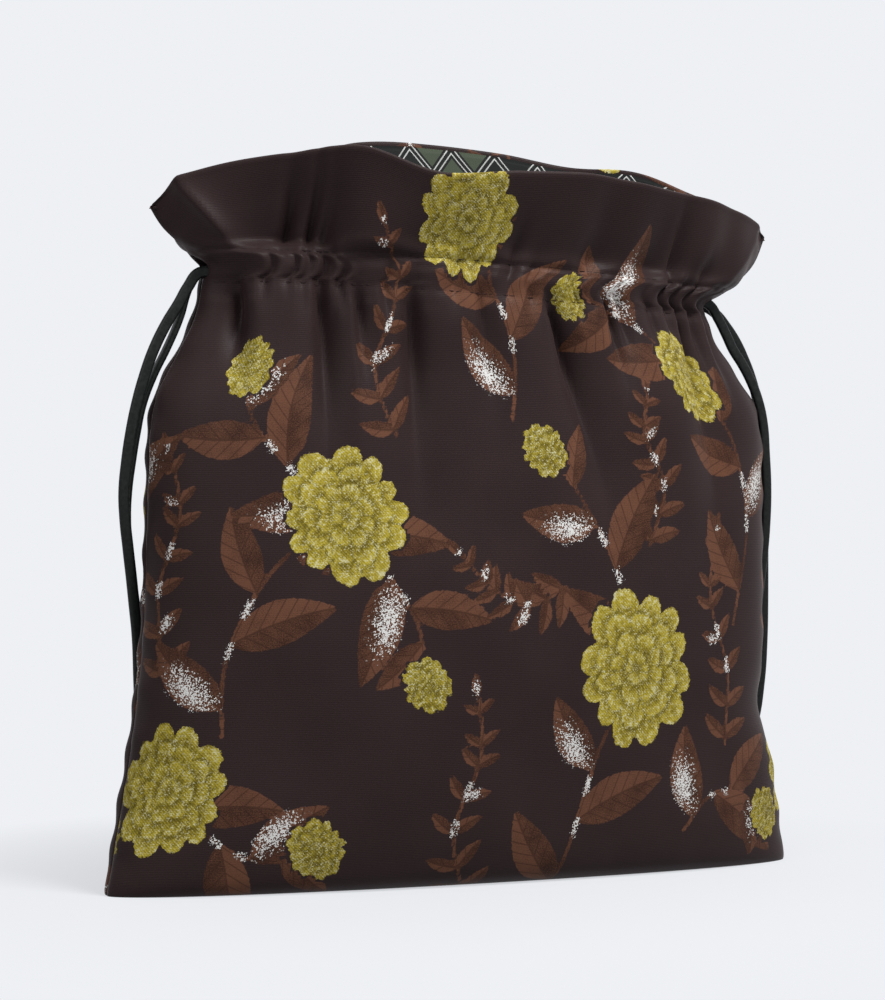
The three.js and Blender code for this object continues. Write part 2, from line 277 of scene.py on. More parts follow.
# %% Outlines
BASE_WIDTH, BELLY_WIDTH, NECK_WIDTH, FRILL_WIDTH = 253, 230, 187, 231
BASE_DEPTH, BELLY_DEPTH, NECK_DEPTH, FRILL_DEPTH = 42, 78, 64, 86
HEEL_HEIGHT, BELLY_HEIGHT, CHANNEL_HEIGHT = 12, 88, 204
FRILL_RISE, BACK_CHANNEL_LIFT, CHANNEL_TILT = 22, 10, 3
CHANNEL_BAND = 10.5
CORNER_TUCK = 4
SHOULDER, LOWER_STITCH, CHANNEL, UPPER_STITCH, RIM = 6, 8, 9, 10, 12


def mix(low, high, share):
    """A value between two others."""
    return low + (high - low) * share


half_base, half_belly, half_neck, half_frill = (
    width / 2 for width in (BASE_WIDTH, BELLY_WIDTH, NECK_WIDTH, FRILL_WIDTH))
half_band = CHANNEL_BAND / 2
lower_body = mix(HEEL_HEIGHT, BELLY_HEIGHT, 0.5)
upper_body, shoulder, under_channel = (
    mix(BELLY_HEIGHT, CHANNEL_HEIGHT, share) for share in (0.4, 0.64, 0.84))

side_outline = [
    (half_base - CORNER_TUCK, 0), (half_base, 0), (mix(half_belly, half_base, 0.84), HEEL_HEIGHT),
    (mix(half_belly, half_base, 0.3), lower_body), (half_belly, BELLY_HEIGHT),
    (half_belly, upper_body), (mix(half_belly, half_neck, 0.1), shoulder),
    (mix(half_belly, half_neck, 0.71), under_channel),
    (mix(half_belly, half_neck, 0.96), CHANNEL_HEIGHT - half_band), (half_neck, CHANNEL_HEIGHT),
    (mix(half_neck, half_frill, 0.34), CHANNEL_HEIGHT + half_band),
    (mix(half_neck, half_frill, 0.78), CHANNEL_HEIGHT + mix(half_band, FRILL_RISE, 0.5)),
    (half_frill, CHANNEL_HEIGHT + FRILL_RISE),
]
# How far each level stands to the right of the middle, since the pouch leans a little
LEVEL_LEAN = [0, 0, 0, 0, 0.5, 2, 2.2, 1.2, 0, 0, 2, 4, 4]


def middle_outline(channel_lift, rim_lift):
    """Depth and height up the middle of a panel, one point a level."""
    base, belly, neck, frill = (depth / 2 for depth in (BASE_DEPTH, BELLY_DEPTH, NECK_DEPTH, FRILL_DEPTH))
    channel = CHANNEL_HEIGHT + channel_lift
    rim = CHANNEL_HEIGHT + FRILL_RISE + rim_lift
    return [
        (0, 0), (base, 0), (mix(base, belly, 0.5), HEEL_HEIGHT), (mix(base, belly, 0.83), lower_body),
        (belly, BELLY_HEIGHT), (mix(belly, neck, 0.2), upper_body),
        (mix(belly, neck, 0.45), shoulder + 0.33 * channel_lift),
        (mix(belly, neck, 0.75), under_channel + 0.67 * channel_lift),
        (neck, channel - half_band), (neck, channel), (neck, channel + half_band),
        (mix(neck, frill, 0.5), mix(channel + half_band, rim, 0.5)), (frill, rim),
    ]


# Rise of each rim above its two ends, from seam to seam, at places that crowd towards the seams
FRONT_RIM_RISES = [0, 3.3, 9.2, 13.4, 16.2, 18.4, 10.6, 12.2, 13, 11, 9.4, 7.1, 4.9, 2.2, 0]
BACK_RIM_RISES = [0, 5, 10.8, 17.5, 25.4, 27.4, 31.6, 33.6, 32.4, 24, 17.5, 11, 5.5, 2, 0]


def panel_shape(turn, channel_lift, rim_rises):
    """What sets a panel apart: the way it faces, its rim and its middle outline."""
    rim_lift = rim_rises[len(rim_rises) // 2]
    outline = middle_outline(channel_lift, rim_lift)
    return {"turn": turn, "rim": rim_rises, "rim_lift": rim_lift, "outline": outline}


FRONT = panel_shape(1, 0, FRONT_RIM_RISES)
BACK = panel_shape(-1, BACK_CHANNEL_LIFT, BACK_RIM_RISES)
PANELS = {"front": FRONT, "back": BACK}
print("levels in each outline:", len(side_outline), len(FRONT["outline"]))

# %% A smooth line through the levels
FINE_LEVELS = np.linspace(0, RIM, 2401)


def smooth_line(points, level):
    """The point at each level of a line that runs smoothly through one given point a level."""
    points = np.asarray(points, float)
    last = len(points) - 1
    start = np.clip(np.floor(level).astype(int), 0, last - 1)
    t = (level - start)[:, None]
    before, here, there, after = (points[np.clip(start + step, 0, last)] for step in (-1, 0, 1, 2))
    lean_in, lean_out = (there - before) / 2, (after - here) / 2
    cubic = 2 * (here - there) + lean_in + lean_out
    square = 3 * (there - here) - 2 * lean_in - lean_out
    return ((cubic * t + square) * t + lean_in) * t + here


def run_up(panel, levels):
    """How far up the cloth each level lies, in mm from the bottom seam."""
    steps = np.linalg.norm(np.diff(smooth_line(panel["outline"], FINE_LEVELS), axis=0), axis=1)
    return np.interp(levels, FINE_LEVELS, np.concatenate([[0], np.cumsum(steps)]))


for name, panel in PANELS.items():
    panel["run"] = run_up(panel, np.array([CHANNEL, RIM], float))
    print(name, "panel runs up", panel["run"].round(1), "mm to the channel and the rim")

# %% A wall of the pouch
CHANNEL_ARCH = 1.5
FRILL_PINCH = 0.4
# Between the panels at a side seam: where they are sewn flat, and at the tips of the frill
CLOSED_GAP, SEAM_GAP = 0.04, 0.4


def fade(value, low, high):
    """0 below low and 1 above high, with a soft start and end."""
    share = np.clip((value - low) / (high - low), 0, 1)
    return share * share * (3 - 2 * share)


def bell(offset, width):
    """1 in the middle, falling away to both sides."""
    return np.exp(-((offset / width) ** 2))


def frill_share(levels):
    """How far up the frill a level lies, from 0 at the stitches to 1 at the rim."""
    return fade(levels, UPPER_STITCH, RIM)


def section(reach, depth, pinch, shares):
    """Points and inward directions of a rounded section, at shares of its length from seam to seam."""
    t = np.linspace(0, 1, 321)
    handle = 4 / 3 * max(depth, 0.01)
    corner = reach * (1 - pinch)
    x = reach * (t**3 - (1 - t) ** 3) + 3 * corner * t * (1 - t) * (2 * t - 1)
    y = -3 * handle * t * (1 - t)
    length = np.concatenate([[0], np.cumsum(np.hypot(np.diff(x), np.diff(y)))])
    place = np.interp(shares, length / length[-1], t)
    spot = np.stack([np.interp(place, t, x), np.interp(place, t, y)], axis=1)
    bulge = place * (1 - place)
    along_x = reach * pinch * (1 - 2 * bulge) + 4 * corner * bulge
    along = np.stack([along_x, -handle * (1 - 2 * place)], axis=1)
    along /= np.linalg.norm(along, axis=1)[:, None]
    return spot, np.stack([-along[:, 1], along[:, 0]], axis=1)


def rim_rise(panel, shares):
    """How far a rim stands above its two ends."""
    rises = np.array(panel["rim"])[:, None]
    return smooth_line(rises, np.arccos(1 - 2 * shares) / np.pi * (len(rises) - 1))[:, 0]


def wall(panel, levels, shares, sink):
    """Places and inward directions of a wall, a row for each level and a column for each share."""
    side = smooth_line(side_outline, levels)
    middle = smooth_line(panel["outline"], levels)
    lean = smooth_line(np.array(LEVEL_LEAN)[:, None], levels)
    tilt = CHANNEL_TILT * panel["turn"] * fade(levels, SHOULDER, LOWER_STITCH)
    tilt *= 1 - frill_share(levels)
    places = np.zeros((*sink.shape, 3))
    inward = np.zeros_like(places)
    for row, level in enumerate(levels):
        frill = frill_share(level)
        spot, into = section(side[row, 0], middle[row, 0], FRILL_PINCH * frill, shares[row])
        arch = np.abs(np.sin(np.pi * shares[row])) ** CHANNEL_ARCH
        rim = rim_rise(panel, shares[row]) - panel["rim_lift"] * arch
        places[row, :, :2] = (spot + into * sink[row][:, None]) * panel["turn"]
        places[row, :, 0] += lean[row]
        places[row, :, 1] -= panel["turn"] * mix(CLOSED_GAP, SEAM_GAP, frill) / 2
        height = mix(side[row, 1], middle[row, 1], arch) + frill * rim
        places[row, :, 2] = np.maximum(height + tilt[row] * np.cos(np.pi * shares[row]), 0)
        inward[row, :, :2] = into * panel["turn"]
    return places, inward


flat_shares = np.tile(np.linspace(0, 1, 41), (49, 1))
plain_wall, _ = wall(FRONT, np.linspace(0, RIM, 49), flat_shares, np.zeros_like(flat_shares))
node_low, node_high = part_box("outer_front_panel")
print("plain front wall, mm:", plain_wall.min((0, 1)).round(1), plain_wall.max((0, 1)).round(1))
print("its CAD node, mm:", [round(v / MM, 1) for v in node_low], [round(v / MM, 1) for v in node_high])

# %% [markdown]
# ## Gathers, puckers and drape
# The laces pull about 26 cm of cloth into a neck of 21 cm, and the spare cloth has to go somewhere. Under
# and over the channel it makes gathers: sharp valleys between round ridges, deep at the channel and
# widening as they die out. Between the two rows of stitches it makes many short puckers. Noise would
# give dents with no direction, so each gather is listed one by one with its own depth, reach and lean.

# %% Gathers
FLAT_WIDTH = 264
# Place as a share from seam to seam, then in mm the depth, half width, height of the deepest part over
# the channel, reach down and reach up, and the lean for each mm down
FRONT_GATHERS = [
    (0.070, 7.6, 6.0, -11, 30, 12, -0.04), (0.118, 3.0, 2.0, -1, 12, 9, 0),
    (0.139, 5.4, 3.6, 12, 13, 26, 0), (0.158, 3.4, 2.0, 0, 11, 9, 0),
    (0.180, 4.8, 2.8, 9, 26, 34, 0.04), (0.205, 5.8, 3.6, -2, 62, 42, 0.05),
    (0.240, 3.4, 2.2, -3, 14, 8, 0.05), (0.266, 4.2, 2.8, -11, 30, 9, 0.04),
    (0.312, 3.6, 2.2, -3, 17, 9, 0.02), (0.356, 5.4, 5.0, -13, 62, 26, -0.02),
    (0.425, 2.8, 2.2, 2, 13, 10, 0), (0.470, 3.2, 2.6, -9, 26, 10, 0.03),
    (0.520, 3.0, 2.4, 6, 13, 15, 0), (0.556, 2.8, 2.2, 1, 13, 9, 0.05),
    (0.590, 5.8, 4.0, -12, 70, 12, 0.30), (0.645, 2.8, 2.2, 0, 15, 9, 0.10),
    (0.706, 4.0, 2.4, -7, 32, 10, 0.06), (0.729, 3.6, 2.1, -5, 24, 7, 0.04),
    (0.790, 2.4, 3.0, -4, 26, 12, 0.10), (0.835, 5.0, 3.2, 5, 32, 28, 0.14),
    (0.868, 5.8, 3.6, -6, 66, 22, 0.12), (0.905, 4.2, 3.2, 0, 46, 18, 0.10),
    (0.945, 3.0, 3.0, -6, 34, 12, 0.10),
]
rng = np.random.default_rng(11)
BACK_GATHERS = [
    (place + rng.uniform(-0.015, 0.015), depth * rng.uniform(0.8, 1.05), width,
     middle + rng.uniform(-4, 4), down * rng.uniform(0.7, 1.2), up, -lean)
    for place, depth, width, middle, down, up, lean in FRONT_GATHERS
]
FRONT["gathers"], BACK["gathers"] = FRONT_GATHERS, BACK_GATHERS
# Long soft folds of the body, in the same form
DRAPE_FOLDS = [
    (0.20, 3.6, 13, 0, 165, 5, 0.02), (0.29, 3.0, 8, 0, 110, 5, 0.02),
    (0.365, 4.4, 12, 0, 150, 5, 0.02), (0.47, 3.6, 10, 0, 100, 5, 0.05),
    (0.60, 4.2, 13, 0, 140, 5, 0.16), (0.87, 4.0, 14, 0, 150, 5, 0.06),
]
# Hollows of the frill, or bulges where the depth is negative: place, depth and half width
FRILL_WAVES = [
    (0.150, 9.0, 20), (0.215, 3.0, 6), (0.295, -3.0, 11), (0.395, 2.0, 10), (0.54, 2.4, 12),
    (0.65, 6.0, 9), (0.76, 8.0, 14), (0.88, 3.0, 8),
]
# Share of a hollow's depth that is lost towards the rim, which stands out further
WAVE_LOSS = 0.7
# Ridges that run up the frill beside its tips: place at the channel, place at the rim and height
FRILL_RIDGES = [(0.088, 0.045, 4.2), (0.925, 0.965, 0.8)]
# How much wider one side of a fold is, how folds widen to their ends, and how they merge where they meet
SIDE_BIAS = 0.35
WIDER_BELOW, WIDER_ABOVE = 1.5, 1.2
MERGE_POWER = 2.5
# Round at the bottom of a crease, and how fast its sides fall away
CREASE_ROUND, CREASE_FALL = 0.2, 1.35


def crease(offset):
    """1 along the bottom of a fold, with a narrow round, falling away to nothing at its sides."""
    return np.exp(CREASE_FALL * (CREASE_ROUND - np.sqrt(offset**2 + CREASE_ROUND**2)))


def gather_sink(across, rise, folds):
    """How far folds sink the cloth, where across runs along the panel and rise up from the channel."""
    total = np.zeros_like(across)
    for number, (place, depth, width, middle, down, up, lean) in enumerate(folds):
        below, above = np.maximum(middle - rise, 0), np.maximum(rise - middle, 0)
        offset = across - place * FLAT_WIDTH - lean * np.maximum(-rise, 0)
        bias = SIDE_BIAS if number % 3 else -SIDE_BIAS
        spread = width * (1 + WIDER_BELOW * below / down + WIDER_ABOVE * above / up)
        spread *= 1 + bias * np.tanh(offset / width)
        fading = (bell(below, down) * bell(above, up)) ** 2
        total += (depth * fading * crease(offset / spread)) ** MERGE_POWER
    return total ** (1 / MERGE_POWER)


print("gathers on a panel:", len(FRONT_GATHERS), "and long folds:", len(DRAPE_FOLDS))

# %% Puckers, stitches and slack
PUCKER_LENGTH = 7.5
PUCKER_DEPTH = 0.7
STITCH_DEPTH, STITCH_GROOVE = 1.4, 0.7
# The lower row of stitches pulls less, and the cloth swells over the channel and just above it
LOWER_PULL, LOWER_GROOVE = 0.3, 1.6
SWELL = 0.5
BROAD_SLACK, FINE_SLACK = 0.5, 0.35
# Sets the slack of the two panels apart
FRONT["phase"], BACK["phase"] = 0.4, 2.1


def channel_sink(across, rise):
    """Uneven puckers in the sewn channel, its stitched grooves, and the cloth that swells over them."""
    wander = across + 4.2 * np.sin(across / 13.1) + 2.2 * np.sin(across / 5.3 + 1.3)
    fold = (0.5 + 0.5 * np.cos(2 * np.pi * wander / PUCKER_LENGTH)) ** 1.5
    uneven = np.maximum(np.sin(across / 17.0 + 0.6) * np.sin(across / 6.7 + 2), 0) ** 0.7
    above, below = np.maximum(rise - half_band, 0), np.maximum(-rise - half_band, 0)
    sink = PUCKER_DEPTH * fold * uneven * bell(above, 4) * bell(below, 11)
    sink += STITCH_DEPTH * np.exp(-np.abs(rise - half_band) / STITCH_GROOVE)
    lower_row = bell(rise + half_band, LOWER_GROOVE) * (0.4 + 0.6 * fold)
    sink += LOWER_PULL * STITCH_DEPTH * lower_row
    return sink - SWELL * (bell(rise - half_band - 3, 2.2) + bell(rise - 1.5, 4))


def slack_sink(across, run, phase):
    """The slight unevenness of cloth that hangs loose."""
    broad = np.sin(across / 31 + run / 47 + phase) + np.sin(across / 19 - run / 29 + 2 * phase)
    fine = np.sin(across / 11 + run / 23 + 3 * phase) * np.sin(run / 17 + phase)
    return BROAD_SLACK * broad + FINE_SLACK * fine


print("puckers on a panel:", round(FLAT_WIDTH / PUCKER_LENGTH))

# %% All folds of a panel together
UPRIGHT = 0.8
# How much deeper a gather gets where no stitches hold it
FREE_DEEPENING = 0.3
DEEPEST_IN_CHANNEL = 5.6
RIDGE_WIDTH = 5
SEAM_DEPTH, SEAM_WIDTH = 1.0, 1.7
# Ripples that the seam's thread pulls beside it, and one dent in the right side
RIPPLE_DEPTH, RIPPLE_LENGTH, RIPPLE_REACH = 0.45, 2.6, 5
DENT_DEPTH, DENT_RUN, DENT_HEIGHT, DENT_REACH = 4, 82, 13, 26


def upright(panel, across, run):
    """Places across the cloth, spread where the pouch is wide, so that folds stand upright."""
    levels = np.linspace(0, RIM, 481)
    reach = np.interp(run, run_up(panel, levels), smooth_line(side_outline, levels)[:, 0])
    return FLAT_WIDTH / 2 + (across - FLAT_WIDTH / 2) * (reach / half_neck) ** UPRIGHT


def panel_sink(panel, across, run):
    """How far every fold sinks a panel's cloth inward from its outline, in mm."""
    rise = run - panel["run"][0]
    frill = fade(rise, half_band, panel["run"][1] - panel["run"][0])
    place = upright(panel, across, run)
    loose = 1 + FREE_DEEPENING * fade(np.abs(rise), half_band, half_band + 9)
    sink = gather_sink(place, rise, panel["gathers"]) * loose
    sink += gather_sink(place, rise, DRAPE_FOLDS) * fade(-rise, 4, 34)
    hollow = fade(rise, half_band - 2, half_band + 5) * (1 - WAVE_LOSS * frill)
    for middle, depth, width in FRILL_WAVES:
        sink += depth * hollow * bell(across - middle * FLAT_WIDTH, width)
    for low, high, height in FRILL_RIDGES:
        offset = across - mix(low, high, frill) * FLAT_WIDTH
        sink -= height * fade(rise, 2, 14) * crease(offset / RIDGE_WIDTH)
    seam = np.minimum(across, FLAT_WIDTH - across)
    body = fade(run, 20, 60) * fade(-rise, 0, 30)
    sink += channel_sink(across, rise) + body * slack_sink(across, run, panel["phase"])
    sink *= fade(seam, 0, 10)
    band = 1 - fade(np.abs(rise), half_band, half_band + 5)
    sink -= band * np.maximum(sink - DEEPEST_IN_CHANNEL, 0)
    beside_seam = bell(seam - RIPPLE_REACH, RIPPLE_REACH) * fade(seam, 0, 4)
    sink += RIPPLE_DEPTH * np.sin(run / RIPPLE_LENGTH + panel["phase"]) * beside_seam * fade(run, 25, 45)
    side_of_dent = FLAT_WIDTH - across if panel is FRONT else across
    sink += DENT_DEPTH * bell(run - DENT_RUN, DENT_HEIGHT) * bell(side_of_dent, DENT_REACH)
    return sink + SEAM_DEPTH * fade(-rise, 0, 12) * bell(np.maximum(seam, 0), SEAM_WIDTH)


trial = np.meshgrid(np.linspace(0, FLAT_WIDTH, 200), np.linspace(0, FRONT["run"][1], 200))
trial_sink = panel_sink(FRONT, *trial)
print("folds sink the front by", trial_sink.min().round(1), "to", trial_sink.max().round(1), "mm")

# %% [markdown]
# ## The outer panels
# A panel starts as a flat grid, the way cloth starts as a flat cut, and every vertex is moved to its
# place on the wall. Its flat place is kept as the UV map, in metres, so the woven pattern bends and
# gathers with the cloth. At the side seams the edge turns inwards as a seam allowance, at the rim it
# rolls over, and a slit stays open for the laces. Solidify then gives the cloth its thickness.

# %% Rows and columns of the flat cut
COLUMNS, ROWS, ROLL_ROWS = 226, 205, 7
ROW_CROWDING, CROWDED_REACH = 1.1, 10
ALLOWANCE = [4.2, 2.4, 0.9]
# Half width of the slit at the channel, in mm, and how far it reaches, in levels
SLIT_OPEN, SLIT_LEVELS = 5.2, 0.8
# The rim rolls over in the first part of its rows, and the rest hangs down inside
ROLL_RADIUS, ROLL_PART, ROLL_CLOTH, HEM_DEPTH = 1.0, 1 / 1.4, 5, 6
TIP_FULLNESS = 0.08
CLOTH_THICKNESS = 0.8
# Keeps the turned-in edge clear of the floor at the base, and of the other panel at the rim
ROOM_UNDER_EDGE = 0.9


def row_levels(panel, rows):
    """Levels of the rows, closest together round the channel where the puckers are."""
    run = run_up(panel, FINE_LEVELS)
    crowding = 1 + ROW_CROWDING * bell(run - panel["run"][0], CROWDED_REACH)
    total = np.concatenate([[0], np.cumsum(crowding[1:] * np.diff(run))])
    return np.interp(np.linspace(0, total[-1], rows), total, FINE_LEVELS)


def column_places():
    """Places of the columns across the flat cut, with a seam allowance past each side seam."""
    inner = np.linspace(0, FLAT_WIDTH, COLUMNS - 2 * len(ALLOWANCE))
    return np.concatenate([-np.array(ALLOWANCE), inner, FLAT_WIDTH + np.array(ALLOWANCE[::-1])])


print("rows of the front:", row_levels(FRONT, ROWS - ROLL_ROWS)[:3].round(3), "and on")

# %% Bend a flat cut on to the wall
def outer_places(panel):
    """Places of an outer panel's vertices, in mm, and their flat places across and up the cloth."""
    levels = row_levels(panel, ROWS - ROLL_ROWS)
    across, run = np.meshgrid(column_places(), run_up(panel, levels))
    slit = SLIT_OPEN * np.sqrt(np.clip(1 - ((levels - CHANNEL) / SLIT_LEVELS) ** 2, 0, 1)) / FLAT_WIDTH
    shares = mix(slit[:, None], 1 - slit[:, None], np.clip(across / FLAT_WIDTH, 0, 1))
    turned_in = np.maximum(-across, 0) + np.maximum(across - FLAT_WIDTH, 0)
    sink = panel_sink(panel, np.clip(across, 0, FLAT_WIDTH), run)
    places, inward = wall(panel, levels, shares, sink * fade(run, 2, 30))
    places[:, :, 0] += panel["turn"] * turned_in * np.sign(FLAT_WIDTH / 2 - across)
    gap = mix(CLOSED_GAP, SEAM_GAP, frill_share(levels))[:, None]
    places[:, :, 1] += panel["turn"] * gap / 2 * fade(turned_in, 0, 2)
    edge = fade(turned_in, 0, CLOTH_THICKNESS)
    at_base = edge * (1 - fade(run, 8, 20))
    places[:, :, 1] -= panel["turn"] * ROOM_UNDER_EDGE * at_base
    places[:, :, 2] += ROOM_UNDER_EDGE * at_base
    roll = np.linspace(0, 1, ROLL_ROWS + 1)[1:]
    angle = np.minimum(roll / ROLL_PART, 1) * np.pi
    drop = np.maximum(roll - ROLL_PART, 0) * HEM_DEPTH
    fullness = mix(TIP_FULLNESS, 1, fade(np.minimum(across[-1], FLAT_WIDTH - across[-1]), 0, 12))
    over = (1 - np.cos(angle))[:, None, None] * ROLL_RADIUS * fullness[:, None] * inward[-1]
    over[:, :, 2] += (np.sin(angle)[:, None] * ROLL_RADIUS - drop[:, None]) * fullness
    over[:, :, 1] -= panel["turn"] * ROOM_UNDER_EDGE * edge[-1]
    run = np.concatenate([run, run[-1] + (roll * ROLL_CLOTH)[:, None]])
    across = np.concatenate([across, np.repeat(across[-1:], ROLL_ROWS, axis=0)])
    return np.concatenate([places, places[-1] + over]), across, run


def cloth_mesh(name, places, across, run):
    """A flat grid with its vertices moved to their places, and the flat cut as its UV map."""
    rows, columns = across.shape
    mesh = flat_grid(name, columns - 1, rows - 1, 0.5)
    flat = np.zeros(len(mesh.vertices) * 3)
    mesh.vertices.foreach_get("co", flat)
    column = np.rint((flat[0::3] + 0.5) * (columns - 1)).astype(int)
    row = np.rint((flat[1::3] + 0.5) * (rows - 1)).astype(int)
    mesh.vertices.foreach_set("co", (places[row, column] * MM).ravel())
    corners = np.zeros(len(mesh.loops), int)
    mesh.loops.foreach_get("vertex_index", corners)
    spots = np.stack([across[row, column] - FLAT_WIDTH / 2, run[row, column]], axis=1) * MM
    mesh.uv_layers.new(name="flat_cut").data.foreach_set("uv", spots[corners].ravel())
    mesh.update()
    return mesh, row, column


def cloth_piece(name, mesh, thickness, node):
    """A cloth piece with a real thickness inside its face, which stands for a CAD node."""
    piece = put(name, mesh)
    solid = piece.modifiers.new("thickness", "SOLIDIFY")
    solid.thickness = thickness * MM
    solid.offset = -1
    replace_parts(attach(piece, "root"), node)
    return piece


# %% Outer panels
panel_grids = {}
outer_panels = {}
for name, panel in PANELS.items():
    places, across, run = outer_places(panel)
    mesh, row, column = cloth_mesh(f"outer_{name}", places, across, run)
    outer_panels[name] = cloth_piece(
        f"outer_{name}", mesh, CLOTH_THICKNESS, f"outer_{name}_panel")
    panel_grids[name] = (places, across, run, row, column)
    area = sum(face.area for face in mesh.polygons)
    print(name, "panel:", len(mesh.vertices), "vertices and", round(area, 4), "square metres")

# %% [markdown]
# ## The lining panels
# The lining is a second pouch inside the first, caught in the same stitches, so it follows the same
# gathers a little further in. It can be seen over the front rim, on the inside of the back frill. It
# leaves room in the channel for the laces and stops just under the rolled rim.

# %% Lining panels
LINING_COLUMNS, LINING_ROWS = 130, 150
LINING_THICKNESS = 0.5
LINING_INSET = 2.0
# Share of the width that is tucked in at each seam: below the channel, and at the rim
LINING_TUCK, RIM_TUCK = 0.004, 0.04
LACE_ROOM = 10.6
LINING_DROP = 0.9
# From the middle plane of the pouch, where the two linings meet at the base
LINING_APART = 0.6


def lining_places(panel):
    """Places of a lining panel's vertices, in mm, and their flat places."""
    levels = row_levels(panel, LINING_ROWS)
    across, run = np.meshgrid(np.linspace(0, FLAT_WIDTH, LINING_COLUMNS), run_up(panel, levels))
    in_channel = fade(levels, LOWER_STITCH - 1, LOWER_STITCH)
    in_channel *= 1 - fade(levels, UPPER_STITCH, UPPER_STITCH + 1)
    tuck = mix(LINING_TUCK, RIM_TUCK, frill_share(levels))[:, None]
    shares = mix(tuck, 1 - tuck, across / FLAT_WIDTH)
    sink = panel_sink(panel, shares * FLAT_WIDTH, run) + LINING_INSET
    sink = np.maximum(sink, (LACE_ROOM * in_channel)[:, None])
    places, _ = wall(panel, levels, shares, sink)
    places[:, :, 1] = -panel["turn"] * np.maximum(-panel["turn"] * places[:, :, 1], LINING_APART)
    off_floor = LINING_INSET * (1 - fade(run, 20, 40))
    places[:, :, 2] += off_floor - LINING_DROP * fade(run, panel["run"][1] - 20, panel["run"][1])
    return places, across, run


lining_panels = {}
for name, panel in PANELS.items():
    mesh, _, _ = cloth_mesh(f"lining_{name}", *lining_places(panel))
    lining_panels[name] = cloth_piece(
        f"lining_{name}", mesh, LINING_THICKNESS, f"lining_{name}_panel")
    print(name, "lining:", len(mesh.vertices), "vertices")

# %% [markdown]
# ## The laces inside the channel
# Between the two ends of each lace the rest of it runs once round the pouch inside the channel. Nobody
# sees it, but the lace is whole, so it is laid where the CAD model has it: from one strand in the slit,
# round the neck behind the gathers, and back to the other strand.

# %% Lace runs in the channel
LACE_INSET = 8.0
LACE_STACK = 3.6
# How far a lace swings out where it passes from one panel to the other
LACE_SWING = 3
CHANNEL_STOPS = np.array([0.07, 0.14, 0.25, 0.37, 0.5, 0.63, 0.75, 0.86, 0.93])


def channel_run(first, second, lift):
    """Points round the channel through one panel and then the other."""
    level = np.array([float(CHANNEL)])
    sink = np.full((1, len(CHANNEL_STOPS)), LACE_INSET)
    halves = [wall(panel, level, CHANNEL_STOPS[None], sink)[0][0] for panel in (first, second)]
    turn = [(halves[0][-1] + halves[1][0]) / 2 + np.array([first["turn"] * LACE_SWING, 0, 0])]
    return [tuple(point + np.array([0, 0, lift])) for point in (*halves[0], *turn, *halves[1])]


for side, first, second, lift in (
    ("left", "front", "back", -LACE_STACK / 2), ("right", "back", "front", LACE_STACK / 2),
):
    ends = [LACE_ROUTES[f"{side}_{name}"][0] for name in (first, second)]
    route = [ends[0], *channel_run(PANELS[first], PANELS[second], lift), ends[1]]
    piece = lace_curve(f"{side}_lace_in_channel", [route], LACE_THICKNESS, LACE_FLAT)
    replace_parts(piece, f"{side}_drawcord")
    print(side, "lace in the channel:", round(route_length(route), 3), "m")

# %% [markdown]
# ## Stitches
# Two rows of stitches make the channel. A bump in the material would disappear at the edge of the pouch,
# so each stitch is a small capsule of thread, a stretched sphere with few faces, laid along its groove.
# Its points are counted from pole to pole, so that the mesh comes out the same each time.

# %% Stitches
STITCH_PITCH = 3.0
STITCH_LENGTH = 2.3
THREAD_THICKNESS = 0.28
STITCH_SIDES, STITCH_RINGS = 6, 3


def capsule():
    """Points, in mm, and faces of one stitch that lies along X."""
    points, faces = [(0, 0, 1)], []
    for ring in range(1, STITCH_RINGS + 1):
        polar = math.pi * ring / (STITCH_RINGS + 1)
        for side in range(STITCH_SIDES):
            turn = math.pi / 2 + 2 * math.pi * side / STITCH_SIDES
            reach = math.sin(polar)
            points.append((reach * math.cos(turn), reach * math.sin(turn), math.cos(polar)))
    points.append((0, 0, -1))
    for side in range(STITCH_SIDES):
        here, there = (
            [1 + ring * STITCH_SIDES + column % STITCH_SIDES for ring in range(STITCH_RINGS)]
            for column in (side, side + 1))
        faces += [(0, here[0], there[0]), (len(points) - 1, there[-1], here[-1])]
        faces += zip(here, here[1:], there[1:], there)
    return np.array(points) * (STITCH_LENGTH / 2, THREAD_THICKNESS / 2, THREAD_THICKNESS / 2), faces


def stitch_rows(name, panel, places, across, run):
    """A mesh of both rows of stitches on a panel, laid in its two grooves."""
    points, faces = capsule()
    laid = []
    for height in (-half_band, half_band):
        row = int(np.argmin(np.abs(run[:, 0] - panel["run"][0] - height)))
        spots = np.arange(SLIT_OPEN + STITCH_PITCH, FLAT_WIDTH - SLIT_OPEN, STITCH_PITCH)
        line = np.stack([np.interp(spots, across[row], values) for values in places[row].T], axis=1)
        for here, there in zip(line, line[1:]):
            turn = np.array(Vector(there - here).to_track_quat("X", "Z").to_matrix())
            laid.append(mix(here, there, 0.5) + points @ turn.T)
    starts = range(0, len(laid) * len(points), len(points))
    corners = [[start + corner for corner in face] for start in starts for face in faces]
    mesh = bpy.data.meshes.new(name)
    mesh.from_pydata((np.concatenate(laid) * MM).tolist(), [], corners)
    return smooth(mesh)


channel_stitches = {}
for name, panel in PANELS.items():
    mesh = stitch_rows(f"{name}_channel_stitches", panel, *panel_grids[name][:3])
    channel_stitches[name] = put(mesh.name, mesh)
    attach(channel_stitches[name], "root")
    print(mesh.name, "has", len(mesh.polygons), "faces")

# The free lace ends take the place of the CAD model's drawcords.

# %% Lace ends for the drawcords
for name, route in LACE_ROUTES.items():
    side = name.split("_")[0]
    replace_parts(lace_ends[name], f"{side}_drawcord")
print("cords:", len(lace_ends), "and sheets:", len(outer_panels) + len(lining_panels))

